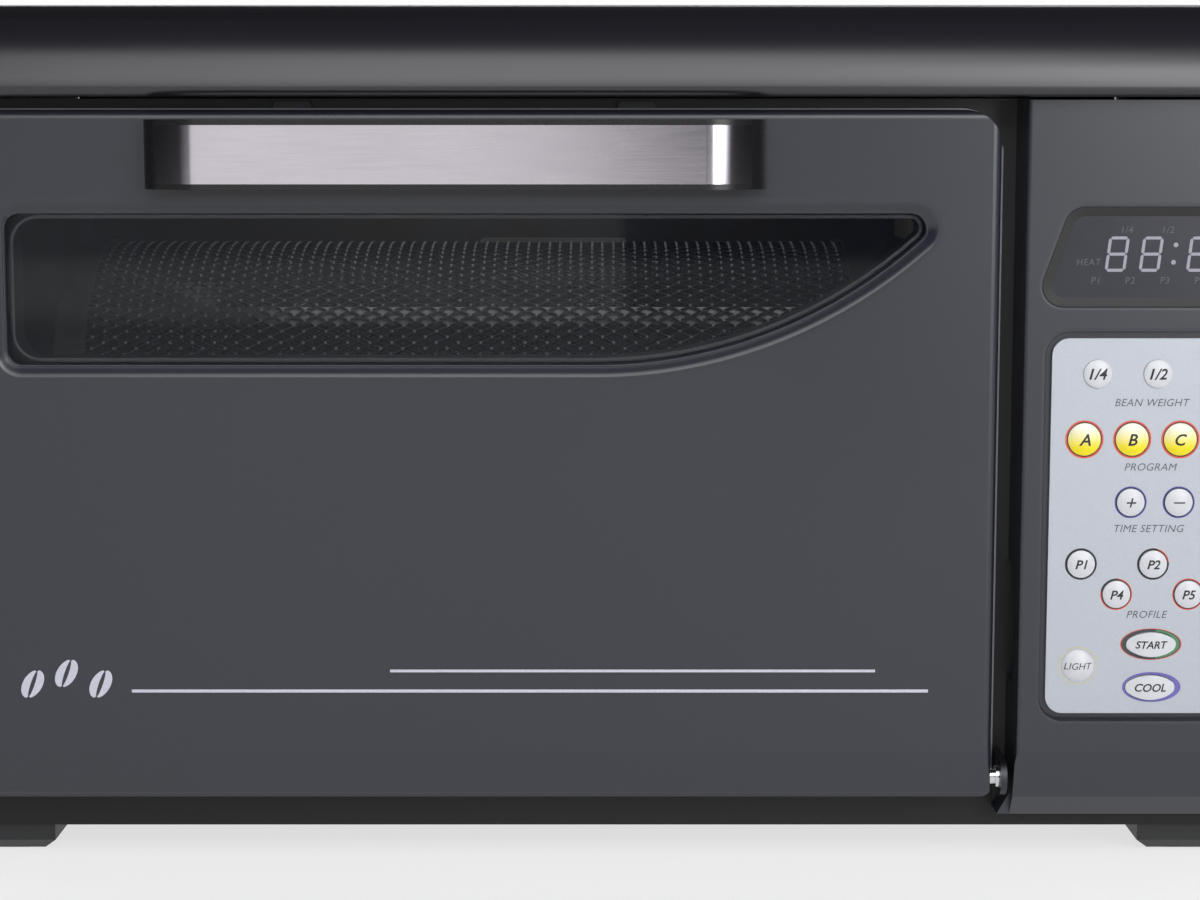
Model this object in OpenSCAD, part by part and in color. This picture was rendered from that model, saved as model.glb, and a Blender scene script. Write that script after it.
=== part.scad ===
// Countertop drum roaster for coffee beans: a sheet-steel cabinet with a drop-down
// door on the left, a key panel on the right, and a turning wire-mesh drum inside.
// Millimetres, +Z up, front towards -Y. The origin is at the middle of the footprint.

/* [Cabinet] */
// Width over the side walls
body_w = 448; // [440:1:470]
// Height from the table to the top
body_h = 280; // [276:1:300]
// Depth from the door's face to the back panel
body_d = 304; // [298:1:330]
// Thickness of the cabinet's sheet steel
sheet = 1.2; // [1:0.1:1.4]
// Radius of the rounded front edge of the top
nose_r = 29.5; // [26:0.5:32]
// How far the rounded edge stands in front of the door's face
nose_over = 8; // [6:0.5:10]
// Radius of the long top edges at the sides
top_edge_r = 14; // [10:1:18]
// Height of the feet under the base pan
foot_h = 10; // [8:0.5:14]
// Width of one foot
foot_w = 38; // [30:1:42]
// Depth of one foot, front to back
foot_d = 30; // [24:1:36]
// Height of the base pan's walls
pan_h = 15; // [13:0.5:16]

/* [Door] */
// Gap between the cabinet's left wall and the door
door_margin = 8; // [7.6:0.1:9]
// Gap between the door and the key panel
door_gap = 7.7; // [7.2:0.1:9]
// Height of the door's lower edge above the base pan's underside
door_lift = 14.5; // [14:0.5:16]
// Gap between the door and the rounded top edge
door_top_gap = 4; // [3:0.5:6]
// Depth of the door from its face to its inner plate
door_t = 20; // [19:0.5:20.5]
// Radius of the door's upper corners
door_r = 12; // [8:1:16]
// Radius of the door's lower corners
door_foot_r = 3; // [2:0.5:8]
// Height of the bend above the door's lower edge
crease_up = 15.5; // [14:0.5:20]
// Radius of the hinge pins
pin_r = 2.5; // [2:0.1:2.7]
// How far the inner plate shows beside the outer one
liner_over = 3; // [2:0.1:3.2]

/* [Window] */
// Distance of the window from the door's left edge
win_left = 28; // [20:1:40]
// Distance of the window's tip from the door's right edge
win_right = 23.3; // [18:0.5:40]
// Distance of the window from the door's top edge
win_top = 32.3; // [31:0.5:38]
// Height of the window
win_h = 48.6; // [40:1:54]
// Radius of the long sweep at the window's lower right
win_sweep_r = 154; // [130:2:180]
// Radius of the window's tip
win_tip_r = 5; // [4:0.5:7]
// Width of the pressed border around the window
win_rim = 3.6; // [3:0.2:4.4]
// Thickness of the glass
glass_t = 3; // [2.5:0.1:3.2]

/* [Handle] */
// Length of the handle
handle_w = 195; // [150:1:220]
// How far the handle stands out from the door
handle_proj = 24; // [22:0.5:25]
// Height of the handle's black core
handle_h = 21.5; // [18:0.5:24]
// Height of the steel strip on the handle
strip_h = 18; // [14:0.5:18]
// Thickness of the steel strip
strip_t = 0.8; // [0.6:0.1:1.2]
// Radius of the handle's bends
handle_r = 20; // [16:0.5:21]
// Thickness of the handle's bow
bow_t = 5.8; // [5:0.1:6.5]
// Distance of the handle's middle from the door's top edge
handle_drop = 13.8; // [13.4:0.1:15]

/* [Key panel] */
// Width of the key panel
panel_w = 86.5; // [84:0.5:92]
// Thickness of the panel's front wall
panel_front = 4; // [3.6:0.1:5]
// Thickness of the panel's other walls
panel_wall = 2.2; // [1.8:0.1:3]
// Width of the key plate
pad_w = 67.6; // [66:0.2:72]
// Height of the key plate's lower edge above the door's lower edge
pad_up = 28.1; // [27:0.5:30]
// Thickness of the key plate
pad_t = 1.5; // [1.2:0.1:1.8]
// Depth of the pocket that holds the key plate
pad_sink = 3; // [2.8:0.1:3.4]
// Width of the dark border around the key plate
pad_rim = 2.5; // [2:0.1:3]
// How far a key can be pressed
key_travel = 0.6; // [0.4:0.1:0.8]
// Height of a key above the plate
key_rise = 1.6; // [1.2:0.1:2]
// Height of the display lens
lens_h = 25.3; // [22:0.5:27]
// Distance of the display lens from the panel's top edge
lens_drop = 36.7; // [34:0.1:38]
// Gap between the key plate and the lens
lens_up = 13.3; // [11:0.1:15]

/* [Oven] */
// Distance of the oven's side walls inside the door's edges
oven_inset = 10; // [8:0.5:12]
// Height of the oven's floor above the base pan's underside
oven_lift = 28; // [26:0.5:29]
// Gap between the oven's roof and the foot of the cabinet's rounded edge
oven_drop = 14.5; // [12:0.5:17]
// Depth of the oven's inside
oven_d = 220; // [216:1:226]
// Thickness of the chaff tray's sheet
tray_t = 1; // [0.8:0.1:1.2]
// Height of the tray's front and side walls
tray_h = 11; // [8:0.5:12]
// Height of the tray's rear wall
tray_back_h = 50; // [40:1:56]

/* [Drum] */
// Gap between the oven's side walls and the ends of the drum's mesh
drum_gap = 20.15; // [19.65:0.5:24]
// Outer radius of the drum's mesh
drum_r = 71; // [68:0.5:72]
// Thickness of the mesh
mesh_t = 0.8; // [0.6:0.1:1]
// Gap between the drum's mesh and the heaters' guard
guard_gap = 12.5; // [11:0.5:14]
// Gap between the drum's mesh and the oven's floor
floor_gap = 19; // [18:0.5:21]
// Number of mesh panels and seams around the drum, the hatch's own included
mesh_panels = 8; // [8:8:8]
// Number of mesh cells across one panel
panel_cells = 4; // [3:1:4]
// Number of mesh rows along the drum
mesh_rows = 25; // [21:2:25]
// Part of a mesh cell that is open
mesh_open = 0.84; // [0.7:0.02:0.86]
// Height of the vanes inside the drum
vane_h = 14; // [10:0.5:14]
// Length of one vane
vane_l = 26; // [18:1:28]
// Angle between a vane and the drum's axis
vane_tilt = 30; // [0:5:35]
// Distance between two vanes along the drum
vane_pitch = 46; // [36:1:48]
// Radius of the axle pin at the drum's left end
axle_r = 4; // [3:0.25:5]
// Width of the square stub at the drum's right end
stub_w = 10; // [8:0.5:11]

/* [Heaters, motor and fan] */
// Radius of the quartz heater tubes
tube_r = 5; // [4:0.25:5.5]
// Distance between the two heater tubes
tube_gap = 40; // [36:1:46]
// Distance of the tubes from the oven's back wall
tube_off = 17; // [16:0.5:20]
// Radius of the drive shaft
shaft_r = 5; // [4:0.25:5.5]
// Radius of the motor's can
motor_r = 24; // [18:0.5:26]
// Length of the motor's can
motor_l = 38; // [30:1:42]
// Width of the exhaust fan's square frame
fan_w = 80; // [70:1:84]
// Number of the fan's blades
fan_blades = 7; // [5:1:9]

/* [Clearances] */
// Gap between a moving piece and what it moves past
run = 0.3; // [0.25:0.05:0.4]
// Radial gap between a pin and its bore
bore_fit = 0.08; // [0.05:0.01:0.1]
// Gap between fixed pieces that slide together
seat = 0.3; // [0.2:0.05:0.4]

/* [Hidden] */
$fn = 64;
over = 1; // cutters reach this far past what they cut

// Planes and edges that several pieces share
gland_lip = 2.5;
face_y = (handle_proj - body_d - gland_lip) / 2;
back_y = face_y + body_d;
half_w = body_w / 2;
inner_x = half_w - sheet;
panel_x1 = inner_x - seat;
panel_x0 = panel_x1 - panel_w;
panel_cx = (panel_x0 + panel_x1) / 2;
door_x0 = -half_w + door_margin;
door_x1 = panel_x0 - door_gap;
door_cx = (door_x0 + door_x1) / 2;
nose_z = body_h - nose_r;
nose_y = face_y - nose_over;
door_z0 = foot_h + door_lift;
door_z1 = nose_z - door_top_gap;
crease_z = door_z0 + crease_up;
door_back_y = face_y + door_t;
front_y = face_y + 24;
frame_y = front_y - sheet;
side_front_y = face_y + 6;
pan_y0 = frame_y - sheet;
pan_y1 = back_y - sheet;
pan_z1 = foot_h + pan_h;
cover_z0 = foot_h + 2;
hinge_y = face_y + 8;
hinge_z = door_z0 + 5.5;
ear_t = 2;
ear_off = liner_over + 0.6;
window_x0 = door_x0 + win_left;
window_x1 = door_x1 - win_right;
window_z1 = door_z1 - win_top;
window_z0 = window_z1 - win_h;
handle_z = door_z1 - handle_drop;
oven_z0 = foot_h + oven_lift;
oven_x0 = door_x0 + oven_inset;
oven_x1 = door_x1 - oven_inset;
oven_z1 = nose_z - oven_drop;
oven_y1 = front_y + oven_d;
wall_x1 = oven_x1 + sheet;
tube_y = oven_y1 - tube_off;
guard_y = tube_y - tube_r - 6.5;
axis_y = guard_y - guard_gap - drum_r;
axis_z = oven_z0 + floor_gap + drum_r;
drum_x0 = oven_x0 + drum_gap;
drum_x1 = oven_x1 - drum_gap;
drum_len = drum_x1 - drum_x0;

// ---- drawing helpers ----

// Extrudes an outline of (y, z) points along X, of (x, z) along Y, of (x, y) along Z
module along_x(x0, x1) translate([x0, 0, 0]) rotate([90, 0, 90]) linear_extrude(x1 - x0) children();
module along_y(y0, y1) translate([0, y1, 0]) rotate([90, 0, 0]) linear_extrude(y1 - y0) children();
module along_z(z0, z1) translate([0, 0, z0]) linear_extrude(z1 - z0) children();

// A round bar or bore along X or Y
module rod_x(x0, x1, y, z, r) translate([x0, y, z]) rotate([0, 90, 0]) cylinder(h = x1 - x0, r = r);
module rod_y(y0, y1, x, z, r) translate([x, y1, z]) rotate([90, 0, 0]) cylinder(h = y1 - y0, r = r);

// A block between two corners
module block(x0, x1, y0, y1, z0, z1) translate([x0, y0, z0]) cube([x1 - x0, y1 - y0, z1 - z0]);

// A rectangle between two corners, with round corners of radius r
module round_rect(x0, y0, x1, y1, r) {
    translate([x0 + r, y0]) square([x1 - x0 - 2 * r, y1 - y0]);
    translate([x0, y0 + r]) square([x1 - x0, y1 - y0 - 2 * r]);
    for (x = [x0 + r, x1 - r], y = [y0 + r, y1 - r]) translate([x, y]) circle(r);
}

// A rectangle with one radius at its lower corners and another at its upper ones
module arch_rect(x0, y0, x1, y1, r0, r1) {
    mid = (y0 + y1) / 2;
    round_rect(x0, y0, x1, mid + r1, r0);
    round_rect(x0, mid - r0, x1, y1, r1);
}

// A convex outline with round corners: the points are the corner circles' centres, anticlockwise
module round_poly(pts, r) {
    polygon(pts);
    for (i = [0 : len(pts) - 1]) {
        a = pts[i];
        b = pts[(i + 1) % len(pts)];
        n = [b[1] - a[1], a[0] - b[0]] / norm(b - a) * r;
        polygon([a, a + n, b + n, b]);
        translate(a) circle(r);
    }
}

// A slot with round ends, centred on a point
module slot(x, y, len, w) round_rect(x - len / 2, y - w / 2, x + len / 2, y + w / 2, w / 2 - 0.01);

// ---- cabinet ----

// The cabinet's outline from the front, drawn in by d
module cover_front(d) {
    r = top_edge_r - d;
    translate([-half_w + d, -over]) square([body_w - 2 * d, body_h - top_edge_r + over]);
    translate([-half_w + top_edge_r, 0]) square([body_w - 2 * top_edge_r, body_h - d]);
    for (x = [-1, 1]) translate([x * (half_w - top_edge_r), body_h - top_edge_r]) circle(r);
}

// The rounded front edge from the side, drawn in by d
module cover_nose(d, z0) intersection() {
    translate([nose_y + nose_r, nose_z]) circle(nose_r - d);
    translate([nose_y, z0]) square([nose_r, nose_r + over]);
}

// The cabinet's outline from the side
module cover_side() {
    translate([side_front_y, cover_z0]) square([back_y - side_front_y, nose_z - cover_z0]);
    translate([nose_y + nose_r, nose_z]) square([back_y - nose_y - nose_r, nose_r]);
    cover_nose(0, nose_z);
}

// The hollow inside that outline, open below, behind and under the rounded edge
module cover_hollow() {
    lip_end = side_front_y;
    translate([lip_end - nose_r, -over]) square([back_y - lip_end + nose_r + over, nose_z + over]);
    translate([lip_end, nose_z - over]) square([back_y - lip_end + over, 2 * over + sheet]);
    translate([nose_y + nose_r, nose_z + sheet])
        square([back_y - nose_y - nose_r + over, nose_r - 2 * sheet]);
    cover_nose(sheet, nose_z + sheet);
}

// Slots in the right wall where the exhaust fan blows out
fan_y = back_y - 62;
fan_z = body_h - 78;
vent_pitch = 9;
vent_w = 4;
vent_r = fan_w / 2 - 6;
module exhaust_slots() for (k = [-3 : 3])
    slot(fan_y, fan_z + k * vent_pitch, 2 * sqrt(pow(vent_r, 2) - pow(k * vent_pitch, 2)), vent_w);

module outer_cover() color("#3a3b40") difference() {
    intersection() {
        along_y(nose_y, back_y) cover_front(0);
        along_x(-half_w, half_w) cover_side();
    }
    intersection() {
        along_y(nose_y - over, back_y + over) cover_front(sheet);
        along_x(-half_w, half_w) cover_hollow();
    }
    along_x(inner_x - over, half_w + over) {
        exhaust_slots();
        for (k = [0 : 4]) slot(40, 60 + k * vent_pitch, 70, vent_w);
    }
    for (s = [-1, 1], y = side_screws) rod_x(s * half_w - 2, s * half_w + 2, y, screw_z, 1.8);
}
side_screws = [side_front_y + 40, back_y - 30];
screw_z = pan_z1 - 6;

module base_pan() color("#242527") difference() {
    block(-panel_x1, panel_x1, pan_y0, pan_y1, foot_h, pan_z1);
    block(-panel_x1 + sheet, panel_x1 - sheet, pan_y0 + sheet, pan_y1 - sheet, foot_h + sheet, body_h);
    along_z(foot_h - over, foot_h + sheet + over)
        for (k = [0 : 5]) slot(panel_cx, -30 + k * 12, 50, 5);
    for (s = [-1, 1], y = side_screws) rod_x(s * panel_x1 - 3, s * panel_x1 + 3, y, screw_z, 1.6);
    block(panel_x0 - flare, panel_x1 + over, pan_y0 - over, frame_y, panel_z0 - seat, body_h);
}

// Where the feet stand
foot_x = half_w - 24;
foot_ys = [pan_y0 + foot_d / 2 + 2, pan_y1 - foot_d / 2 - 6];
pad_rise = 0.6;
module at_feet() for (s = [-1, 1], y = foot_ys) translate([s * foot_x, y, 0]) children();

// A moulded foot with chamfered lower edges and a recess for its rubber pad
foot_cut_w = 4.3;
foot_cut_h = 3.6;
module foot_block(w) polygon([[w / 2, foot_h], [-w / 2, foot_h], [-w / 2, pad_rise + foot_cut_h],
    [-w / 2 + foot_cut_w, pad_rise], [w / 2 - foot_cut_w, pad_rise], [w / 2, pad_rise + foot_cut_h]]);
pad_len = foot_w - 14;
pad_dep = foot_d - 12;
pad_deep = 1.4;
module pad_outline(d)
    round_rect(-pad_len / 2 + d, -pad_dep / 2 + d, pad_len / 2 - d, pad_dep / 2 - d, 4 - d);
module feet() color("#1f2022") at_feet() difference() {
    intersection() {
        along_y(-foot_d / 2, foot_d / 2) foot_block(foot_w);
        along_x(-foot_w / 2, foot_w / 2) foot_block(foot_d);
    }
    along_z(pad_rise - over, pad_rise + pad_deep) pad_outline(0);
}
module foot_pads() color("#101010") at_feet() along_z(0, pad_rise + pad_deep) pad_outline(seat);

// The back: a flat sheet with intake louvres and the cord's hole
gland_x = panel_cx;
gland_z = foot_h + 38;
gland_r = 8;
cord_r = 3.8;
module back_panel() color("#2a2b2e") difference() {
    along_y(back_y - sheet, back_y) intersection() {
        cover_front(sheet + seat);
        translate([-half_w, foot_h]) square([body_w, body_h]);
    }
    along_y(back_y - sheet - over, back_y + over) {
        for (col = [-1, 0, 1], k = [0 : 7]) slot(-40 + col * 80, 120 + k * 14, 60, 4);
        for (k = [0 : 5]) slot(panel_cx, 90 + k * 12, 46, 4);
        for (s = [-1, 1], z = [foot_h + 30, body_h - 40]) translate([s * back_screw_x, z]) circle(1.8);
    }
    rod_y(back_y - sheet - over, back_y + over, gland_x, gland_z, gland_r);
}
back_screw_x = half_w - 9;

// The bush that lines the cord's hole
module cord_gland() color("#141414") translate([gland_x, back_y, gland_z]) rotate([90, 0, 0])
    rotate_extrude() difference() {
        union() {
            translate([0, -gland_lip]) square([gland_r + 3, gland_lip]);
            translate([0, -gland_lip]) square([gland_r - seat, sheet + gland_lip + 5]);
            translate([0, sheet + seat]) square([gland_r + 1.6, 1.6]);
        }
        translate([-over, -gland_lip - over]) square([cord_r + over, sheet + gland_lip + 5 + 2 * over]);
    }

// A pan-head screw whose shank points along -Z, head above the surface at z = 0
module pan_screw(r, len) {
    intersection() {
        cylinder(h = r * 1.2, r = 2 * r);
        translate([0, 0, -1.7 * r]) sphere(r * 2.9);
    }
    translate([0, 0, -len]) cylinder(h = len, r = r);
}
module cabinet_screws() color("#77787c") {
    for (s = [-1, 1], y = side_screws)
        translate([s * half_w, y, screw_z]) rotate([0, s * 90, 0]) pan_screw(1.5, 4);
    for (s = [-1, 1], z = [foot_h + 30, body_h - 40])
        translate([s * back_screw_x, back_y, z]) rotate([-90, 0, 0]) pan_screw(1.5, 6);
}

// The black face frame around the oven's mouth
frame_x1 = panel_x0 + panel_wall + 4;
frame_z1 = nose_z - seat;
module front_frame() color("#17181a") difference() {
    union() {
        block(-panel_x1, frame_x1, frame_y, front_y, foot_h + sheet, frame_z1);
        block(-panel_x1, -panel_x1 + sheet, frame_y, front_y + 14, pan_z1 + 2, frame_z1);
        block(frame_x1 - sheet, frame_x1, frame_y, front_y + 14, pan_z1 + 2, frame_z1);
    }
    block(oven_x0, oven_x1, frame_y - over, front_y + over, oven_z0, oven_z1);
    block(-half_w, -panel_x1 + sheet + seat, frame_y - over, front_y + over, foot_h, pan_z1 + seat);
}

// Two silicone blocks that the closed door rests on
bumper_w = 12;
module door_bumpers() color("#3c3d42") for (x = [door_cx - 54, door_cx + 57])
    along_y(door_back_y + run, frame_y)
        round_rect(x - bumper_w / 2, door_z1 - 7, x + bumper_w / 2, nose_z - 1.2, 1.5);

// The ears that hold the door's hinge pins, one at each end of the door
module at_hinges() {
    translate([door_x1, 0, 0]) children();
    translate([door_x0, 0, 0]) mirror([1, 0, 0]) children();
}
ear_r = 6;
module hinge_ears() color("#9a9ba0") at_hinges() difference() {
    along_x(ear_off, ear_off + ear_t) {
        translate([hinge_y, hinge_z]) circle(ear_r);
        translate([hinge_y, pan_z1 + seat]) square([frame_y - hinge_y, hinge_z + ear_r - pan_z1 - seat]);
    }
    rod_x(ear_off - over, ear_off + ear_t + over, hinge_y, hinge_z, pin_r + bore_fit);
}

// Steel pins fixed in the ears, with a collar that keeps the door centred
collar_t = 1.3;
pin_in = 20;
module hinge_pins() color("#c9cacc") at_hinges() {
    rod_x(-pin_in, ear_off + ear_t, hinge_y, hinge_z, pin_r);
    rod_x(ear_off - collar_t, ear_off, hinge_y, hinge_z, pin_r + 1.2);
}

// ---- oven ----

module oven_liner() color("#8f9094") difference() {
    block(oven_x0 - sheet, wall_x1, front_y, oven_y1 + sheet, oven_z0 - sheet, oven_z1 + sheet);
    block(oven_x0, oven_x1, front_y - over, oven_y1, oven_z0, oven_z1);
    rod_x(oven_x1 - over, wall_x1 + over, axis_y, axis_z, shaft_r + 2);
    for (z = tube_zs) rod_x(oven_x0 - sheet - over, wall_x1 + over, tube_y, z, cap_r + seat);
    block(baffle_x0 + 6, baffle_x1 - 6, oven_y1 - over, oven_y1 + sheet + over, baffle_z0 + 4, baffle_z1 - 4);
    block(oven_x1 - over, wall_x1 + over, lamp_y - 18, lamp_y + 18, lamp_z - 11, lamp_z + 11);
}
tube_mid_z = axis_z - 12;
tube_zs = [tube_mid_z - tube_gap / 2, tube_mid_z + tube_gap / 2];
cap_r = tube_r + 2.2;
lamp_y = axis_y + 40;
lamp_z = oven_z1 - 22;

// The exhaust's way out: a perforated plate over a hole in the back wall, above the upper trough
trough_r = 14;
baffle_w = 60;
baffle_h = 34;
baffle_up = 12;
baffle_x0 = door_cx - 4;
baffle_x1 = baffle_x0 + baffle_w;
baffle_z0 = tube_zs[1] + trough_r + baffle_up;
baffle_z1 = baffle_z0 + baffle_h;
baffle_pitch = 9.4;
module exhaust_baffle() color("#b9bab8") difference() {
    along_y(oven_y1 - 1, oven_y1) round_rect(baffle_x0, baffle_z0, baffle_x1, baffle_z1, 2);
    for (k = [-2.5 : 2.5], row = [-0.5, 0.5])
        rod_y(oven_y1 - 2, oven_y1 + over, (baffle_x0 + baffle_x1) / 2 + k * baffle_pitch,
            (baffle_z0 + baffle_z1) / 2 + row * 12, 2.4);
}

// The duct that carries the exhaust behind the oven to the fan
duct_y1 = back_y - sheet - 4;
duct_z0 = baffle_z0 - 2;
duct_z1 = baffle_z1 + 10;
module exhaust_duct() color("#a4a5a8") difference() {
    block(baffle_x0, fan_x0 - seat, oven_y1 + sheet, duct_y1, duct_z0, duct_z1);
    block(baffle_x0 + sheet, fan_x0 + over, oven_y1 - over, duct_y1 - sheet,
        duct_z0 + sheet, duct_z1 - sheet);
    block(wall_x1 + 2, fan_x0 + over, oven_y1, oven_y1 + 8, duct_z0 - over, duct_z1 + over);
}

// The exhaust fan: a square frame behind the slots, and a rotor on a centre boss
fan_t = 25;
fan_x1 = inner_x - seat;
fan_x0 = fan_x1 - fan_t;
fan_bore = fan_w / 2 - 2;
hub_r = 15;
module fan_frame() color("#1b1b1d") difference() {
    union() {
        difference() {
            along_x(fan_x0, fan_x1)
                round_rect(fan_y - fan_w / 2, fan_z - fan_w / 2, fan_y + fan_w / 2, fan_z + fan_w / 2, 4);
            rod_x(fan_x0 - over, fan_x1 + over, fan_y, fan_z, fan_bore);
        }
        rod_x(fan_x0, fan_x0 + 4, fan_y, fan_z, hub_r);
        rod_x(fan_x0, fan_x0 + 9, fan_y, fan_z, 5);
        for (a = [45 : 90 : 315]) translate([fan_x0, fan_y, fan_z]) rotate([a, 0, 0])
            translate([0, hub_r - 1, -2]) cube([3, fan_bore - hub_r + 2, 4]);
    }
    for (s = [-1, 1], t = [-1, 1])
        rod_x(fan_x0 - over, fan_x1 + over, fan_y + s * (fan_w / 2 - 5), fan_z + t * (fan_w / 2 - 5), 2);
}
module fan_rotor() color("#2c2c2f") translate([0, fan_y, fan_z]) {
    difference() {
        rod_x(fan_x0 + 4 + run, fan_x1 - 3, 0, 0, hub_r);
        rod_x(fan_x0 + 3, fan_x0 + 9 + run, 0, 0, 5 + run);
    }
    for (k = [1 : fan_blades]) rotate([k * 360 / fan_blades, 0, 0])
        translate([fan_x0 + fan_t / 2 + 1, 0, hub_r - 0.6]) rotate([0, 0, 35])
            translate([-0.8, -10, 0]) cube([1.6, 20, fan_bore - 2.5 - hub_r]);
}

module heater_tubes() color("#d8d3c8", 0.6) for (z = tube_zs)
    rod_x(oven_x0 - 8, oven_x1 + 8, tube_y, z, tube_r);
module heater_caps() color("#e6e2d8") for (z = tube_zs, s = [0, 1]) difference() {
    rod_x(s ? oven_x1 - 6 : oven_x0 - 11, s ? oven_x1 + 11 : oven_x0 + 6, tube_y, z, cap_r);
    rod_x(s ? oven_x1 - 7 : oven_x0 - 8, s ? oven_x1 + 8 : oven_x0 + 7, tube_y, z, tube_r + bore_fit);
}

// Bright troughs behind the tubes, held to the back wall by flat strips
module heater_reflector() color("#c4c5c7") along_x(oven_x0 + 12, oven_x1 - 12) {
    for (z = tube_zs) intersection() {
        difference() {
            translate([tube_y, z]) circle(trough_r);
            translate([tube_y, z]) circle(trough_r - 0.8);
        }
        translate([tube_y + 2, z - trough_r]) square([trough_r, 2 * trough_r]);
    }
    for (z = tube_zs, s = [-1, 1]) translate([tube_y + 2, z + s * (trough_r - 0.8) - 0.4])
        square([tube_off - 2 - 0.02, 0.8]);
}

// The wire guard between the drum and the tubes
wire_r = 1.25;
guard_half = (oven_x1 - oven_x0) / 2 - 27;
guard_end = tube_gap / 2 + 17;
module heater_guard() color("#b0b1b4") {
    for (z = [tube_zs[0] - 14, tube_mid_z, tube_zs[1] + 14])
        rod_x(door_cx - guard_half - wire_r, door_cx + guard_half + wire_r, guard_y, z, wire_r);
    for (k = [-5 : 5]) translate([door_cx + k * guard_half / 5, guard_y - 1.6, tube_mid_z - guard_end])
        cylinder(h = 2 * guard_end, r = wire_r);
    for (s = [-1, 1], z = [tube_mid_z - guard_end, tube_mid_z + guard_end])
        rod_y(guard_y - 1.6, oven_y1, door_cx + s * guard_half, z, wire_r);
}

// The lamp behind the right wall: a lens, a bulb block and its flange
module oven_lamp() color("#f2e6c0") {
    block(oven_x1 - 2, oven_x1, lamp_y - 22, lamp_y + 22, lamp_z - 15, lamp_z + 15);
    block(oven_x1, wall_x1 + 14, lamp_y - 17.7, lamp_y + 17.7, lamp_z - 10.7, lamp_z + 10.7);
}

// The chaff tray: floor, low walls, and a tall rear wall that leans back behind the drum
tray_x0 = oven_x0 + 3;
tray_x1 = oven_x1 - 3;
tray_y0 = front_y + 3;
tray_y1 = guard_y - 14;
tray_lean = 6;
tray_top = oven_z0 + tray_back_h;
module chaff_tray() color("#a9aaac") {
    difference() {
        union() {
            block(tray_x0, tray_x1, tray_y0, tray_y1, oven_z0, oven_z0 + tray_h);
            along_x(tray_x0, tray_x1) polygon([[tray_y1 - tray_t, oven_z0], [tray_y1, oven_z0],
                [tray_y1 + tray_lean, tray_top], [tray_y1 + tray_lean - tray_t, tray_top]]);
        }
        block(tray_x0 + tray_t, tray_x1 - tray_t, tray_y0 + tray_t, tray_y1 - tray_t,
            oven_z0 + tray_t, oven_z1);
        for (k = [-6 : 6]) along_y(tray_y1 - 4, tray_y1 + tray_lean + 4)
            slot(door_cx + k * 22, tray_top - 16, 14, 4);
    }
    block(door_cx - 30, door_cx + 30, tray_y0 - 2, tray_y0, oven_z0 + tray_h - 1, oven_z0 + tray_h);
}

// The open-topped block on the left wall that carries the drum's axle pin
cradle_w = 9;
module drum_cradle() color("#6c6d70") difference() {
    along_x(oven_x0, oven_x0 + cradle_w) round_rect(axis_y - 16, axis_z - 26, axis_y + 16, axis_z + 12, 3);
    rod_x(oven_x0 - over, oven_x0 + cradle_w + over, axis_y, axis_z, axle_r + bore_fit);
    translate([oven_x0 - over, axis_y, axis_z]) rotate([30, 0, 0])
        translate([0, -axle_r - bore_fit, 0]) cube([cradle_w + 2 * over, 2 * (axle_r + bore_fit), 40]);
}

// The gear motor on the oven's right wall: gearbox, can and output bore
box_w = 58;
box_l = 28;
module gear_motor() color("#75777b") difference() {
    union() {
        along_x(wall_x1, wall_x1 + box_l)
            round_rect(axis_y - box_w / 2, axis_z - box_w / 2, axis_y + box_w / 2, axis_z + box_w / 2, 6);
        rod_x(wall_x1 + box_l, wall_x1 + box_l + motor_l, axis_y, axis_z + 4, motor_r);
        rod_x(wall_x1 + box_l + motor_l, wall_x1 + box_l + motor_l + 3, axis_y, axis_z + 4, 6);
    }
    rod_x(wall_x1 - over, wall_x1 + 22, axis_y, axis_z, shaft_r + bore_fit);
}

// ---- drum ----

// The socket that turns the drum, and its shaft
coupler_r = 15;
coupler_x0 = drum_x1 + 1.5 + 3;
module drive_coupler() color("#b7b8ba") difference() {
    union() {
        rod_x(coupler_x0, coupler_x0 + 9, axis_y, axis_z, coupler_r);
        rod_x(coupler_x0, wall_x1 + 21, axis_y, axis_z, shaft_r);
    }
    block(coupler_x0 - over, coupler_x0 + 7, axis_y - stub_w / 2 - run, axis_y + stub_w / 2 + run,
        axis_z - stub_w / 2 - run, axis_z + stub_w / 2 + run);
}

// Angles are measured from the front of the drum towards its top. The hatch lies low at the front.
panel_a = 360 / mesh_panels;
hatch_a0 = -47;
hatch_a1 = hatch_a0 + panel_a;
cell_a = panel_a / panel_cells;
row_x0 = drum_x0 + 12;
cell_l = (drum_len - 24) / mesh_rows;
cell_w = 2 * PI * drum_r * cell_a / 360;
module at_drum() translate([0, axis_y, axis_z]) children();
// Turns a piece that points to the front, along -Y, to an angle around the drum
module at_angle(a) rotate([-a, 0, 0]) children();

// One diamond hole through the mesh at the drum's front
module diamond() {
    hole_w = cell_w * mesh_open;
    hole_l = 2 * cell_l * mesh_open;
    translate([0, -drum_r + 4, 0]) rotate([90, 0, 0]) linear_extrude(8)
        polygon([[-hole_l / 2, 0], [0, -hole_w / 2], [hole_l / 2, 0], [0, hole_w / 2]]);
}

// A tube around X between two radii, and a wedge that keeps one sector of it
module drum_tube(x0, x1, r0, r1) difference() {
    rod_x(x0, x1, 0, 0, r1);
    rod_x(x0 - over, x1 + over, 0, 0, r0);
}
module sector(x0, x1, a0, a1) {
    reach = 2 * drum_r;
    am = (a0 + a1) / 2;
    along_x(x0, x1) polygon([[0, 0], [-reach * cos(a0), reach * sin(a0)],
        [-reach * cos(am) * 1.2, reach * sin(am) * 1.2], [-reach * cos(a1), reach * sin(a1)]]);
}

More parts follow.
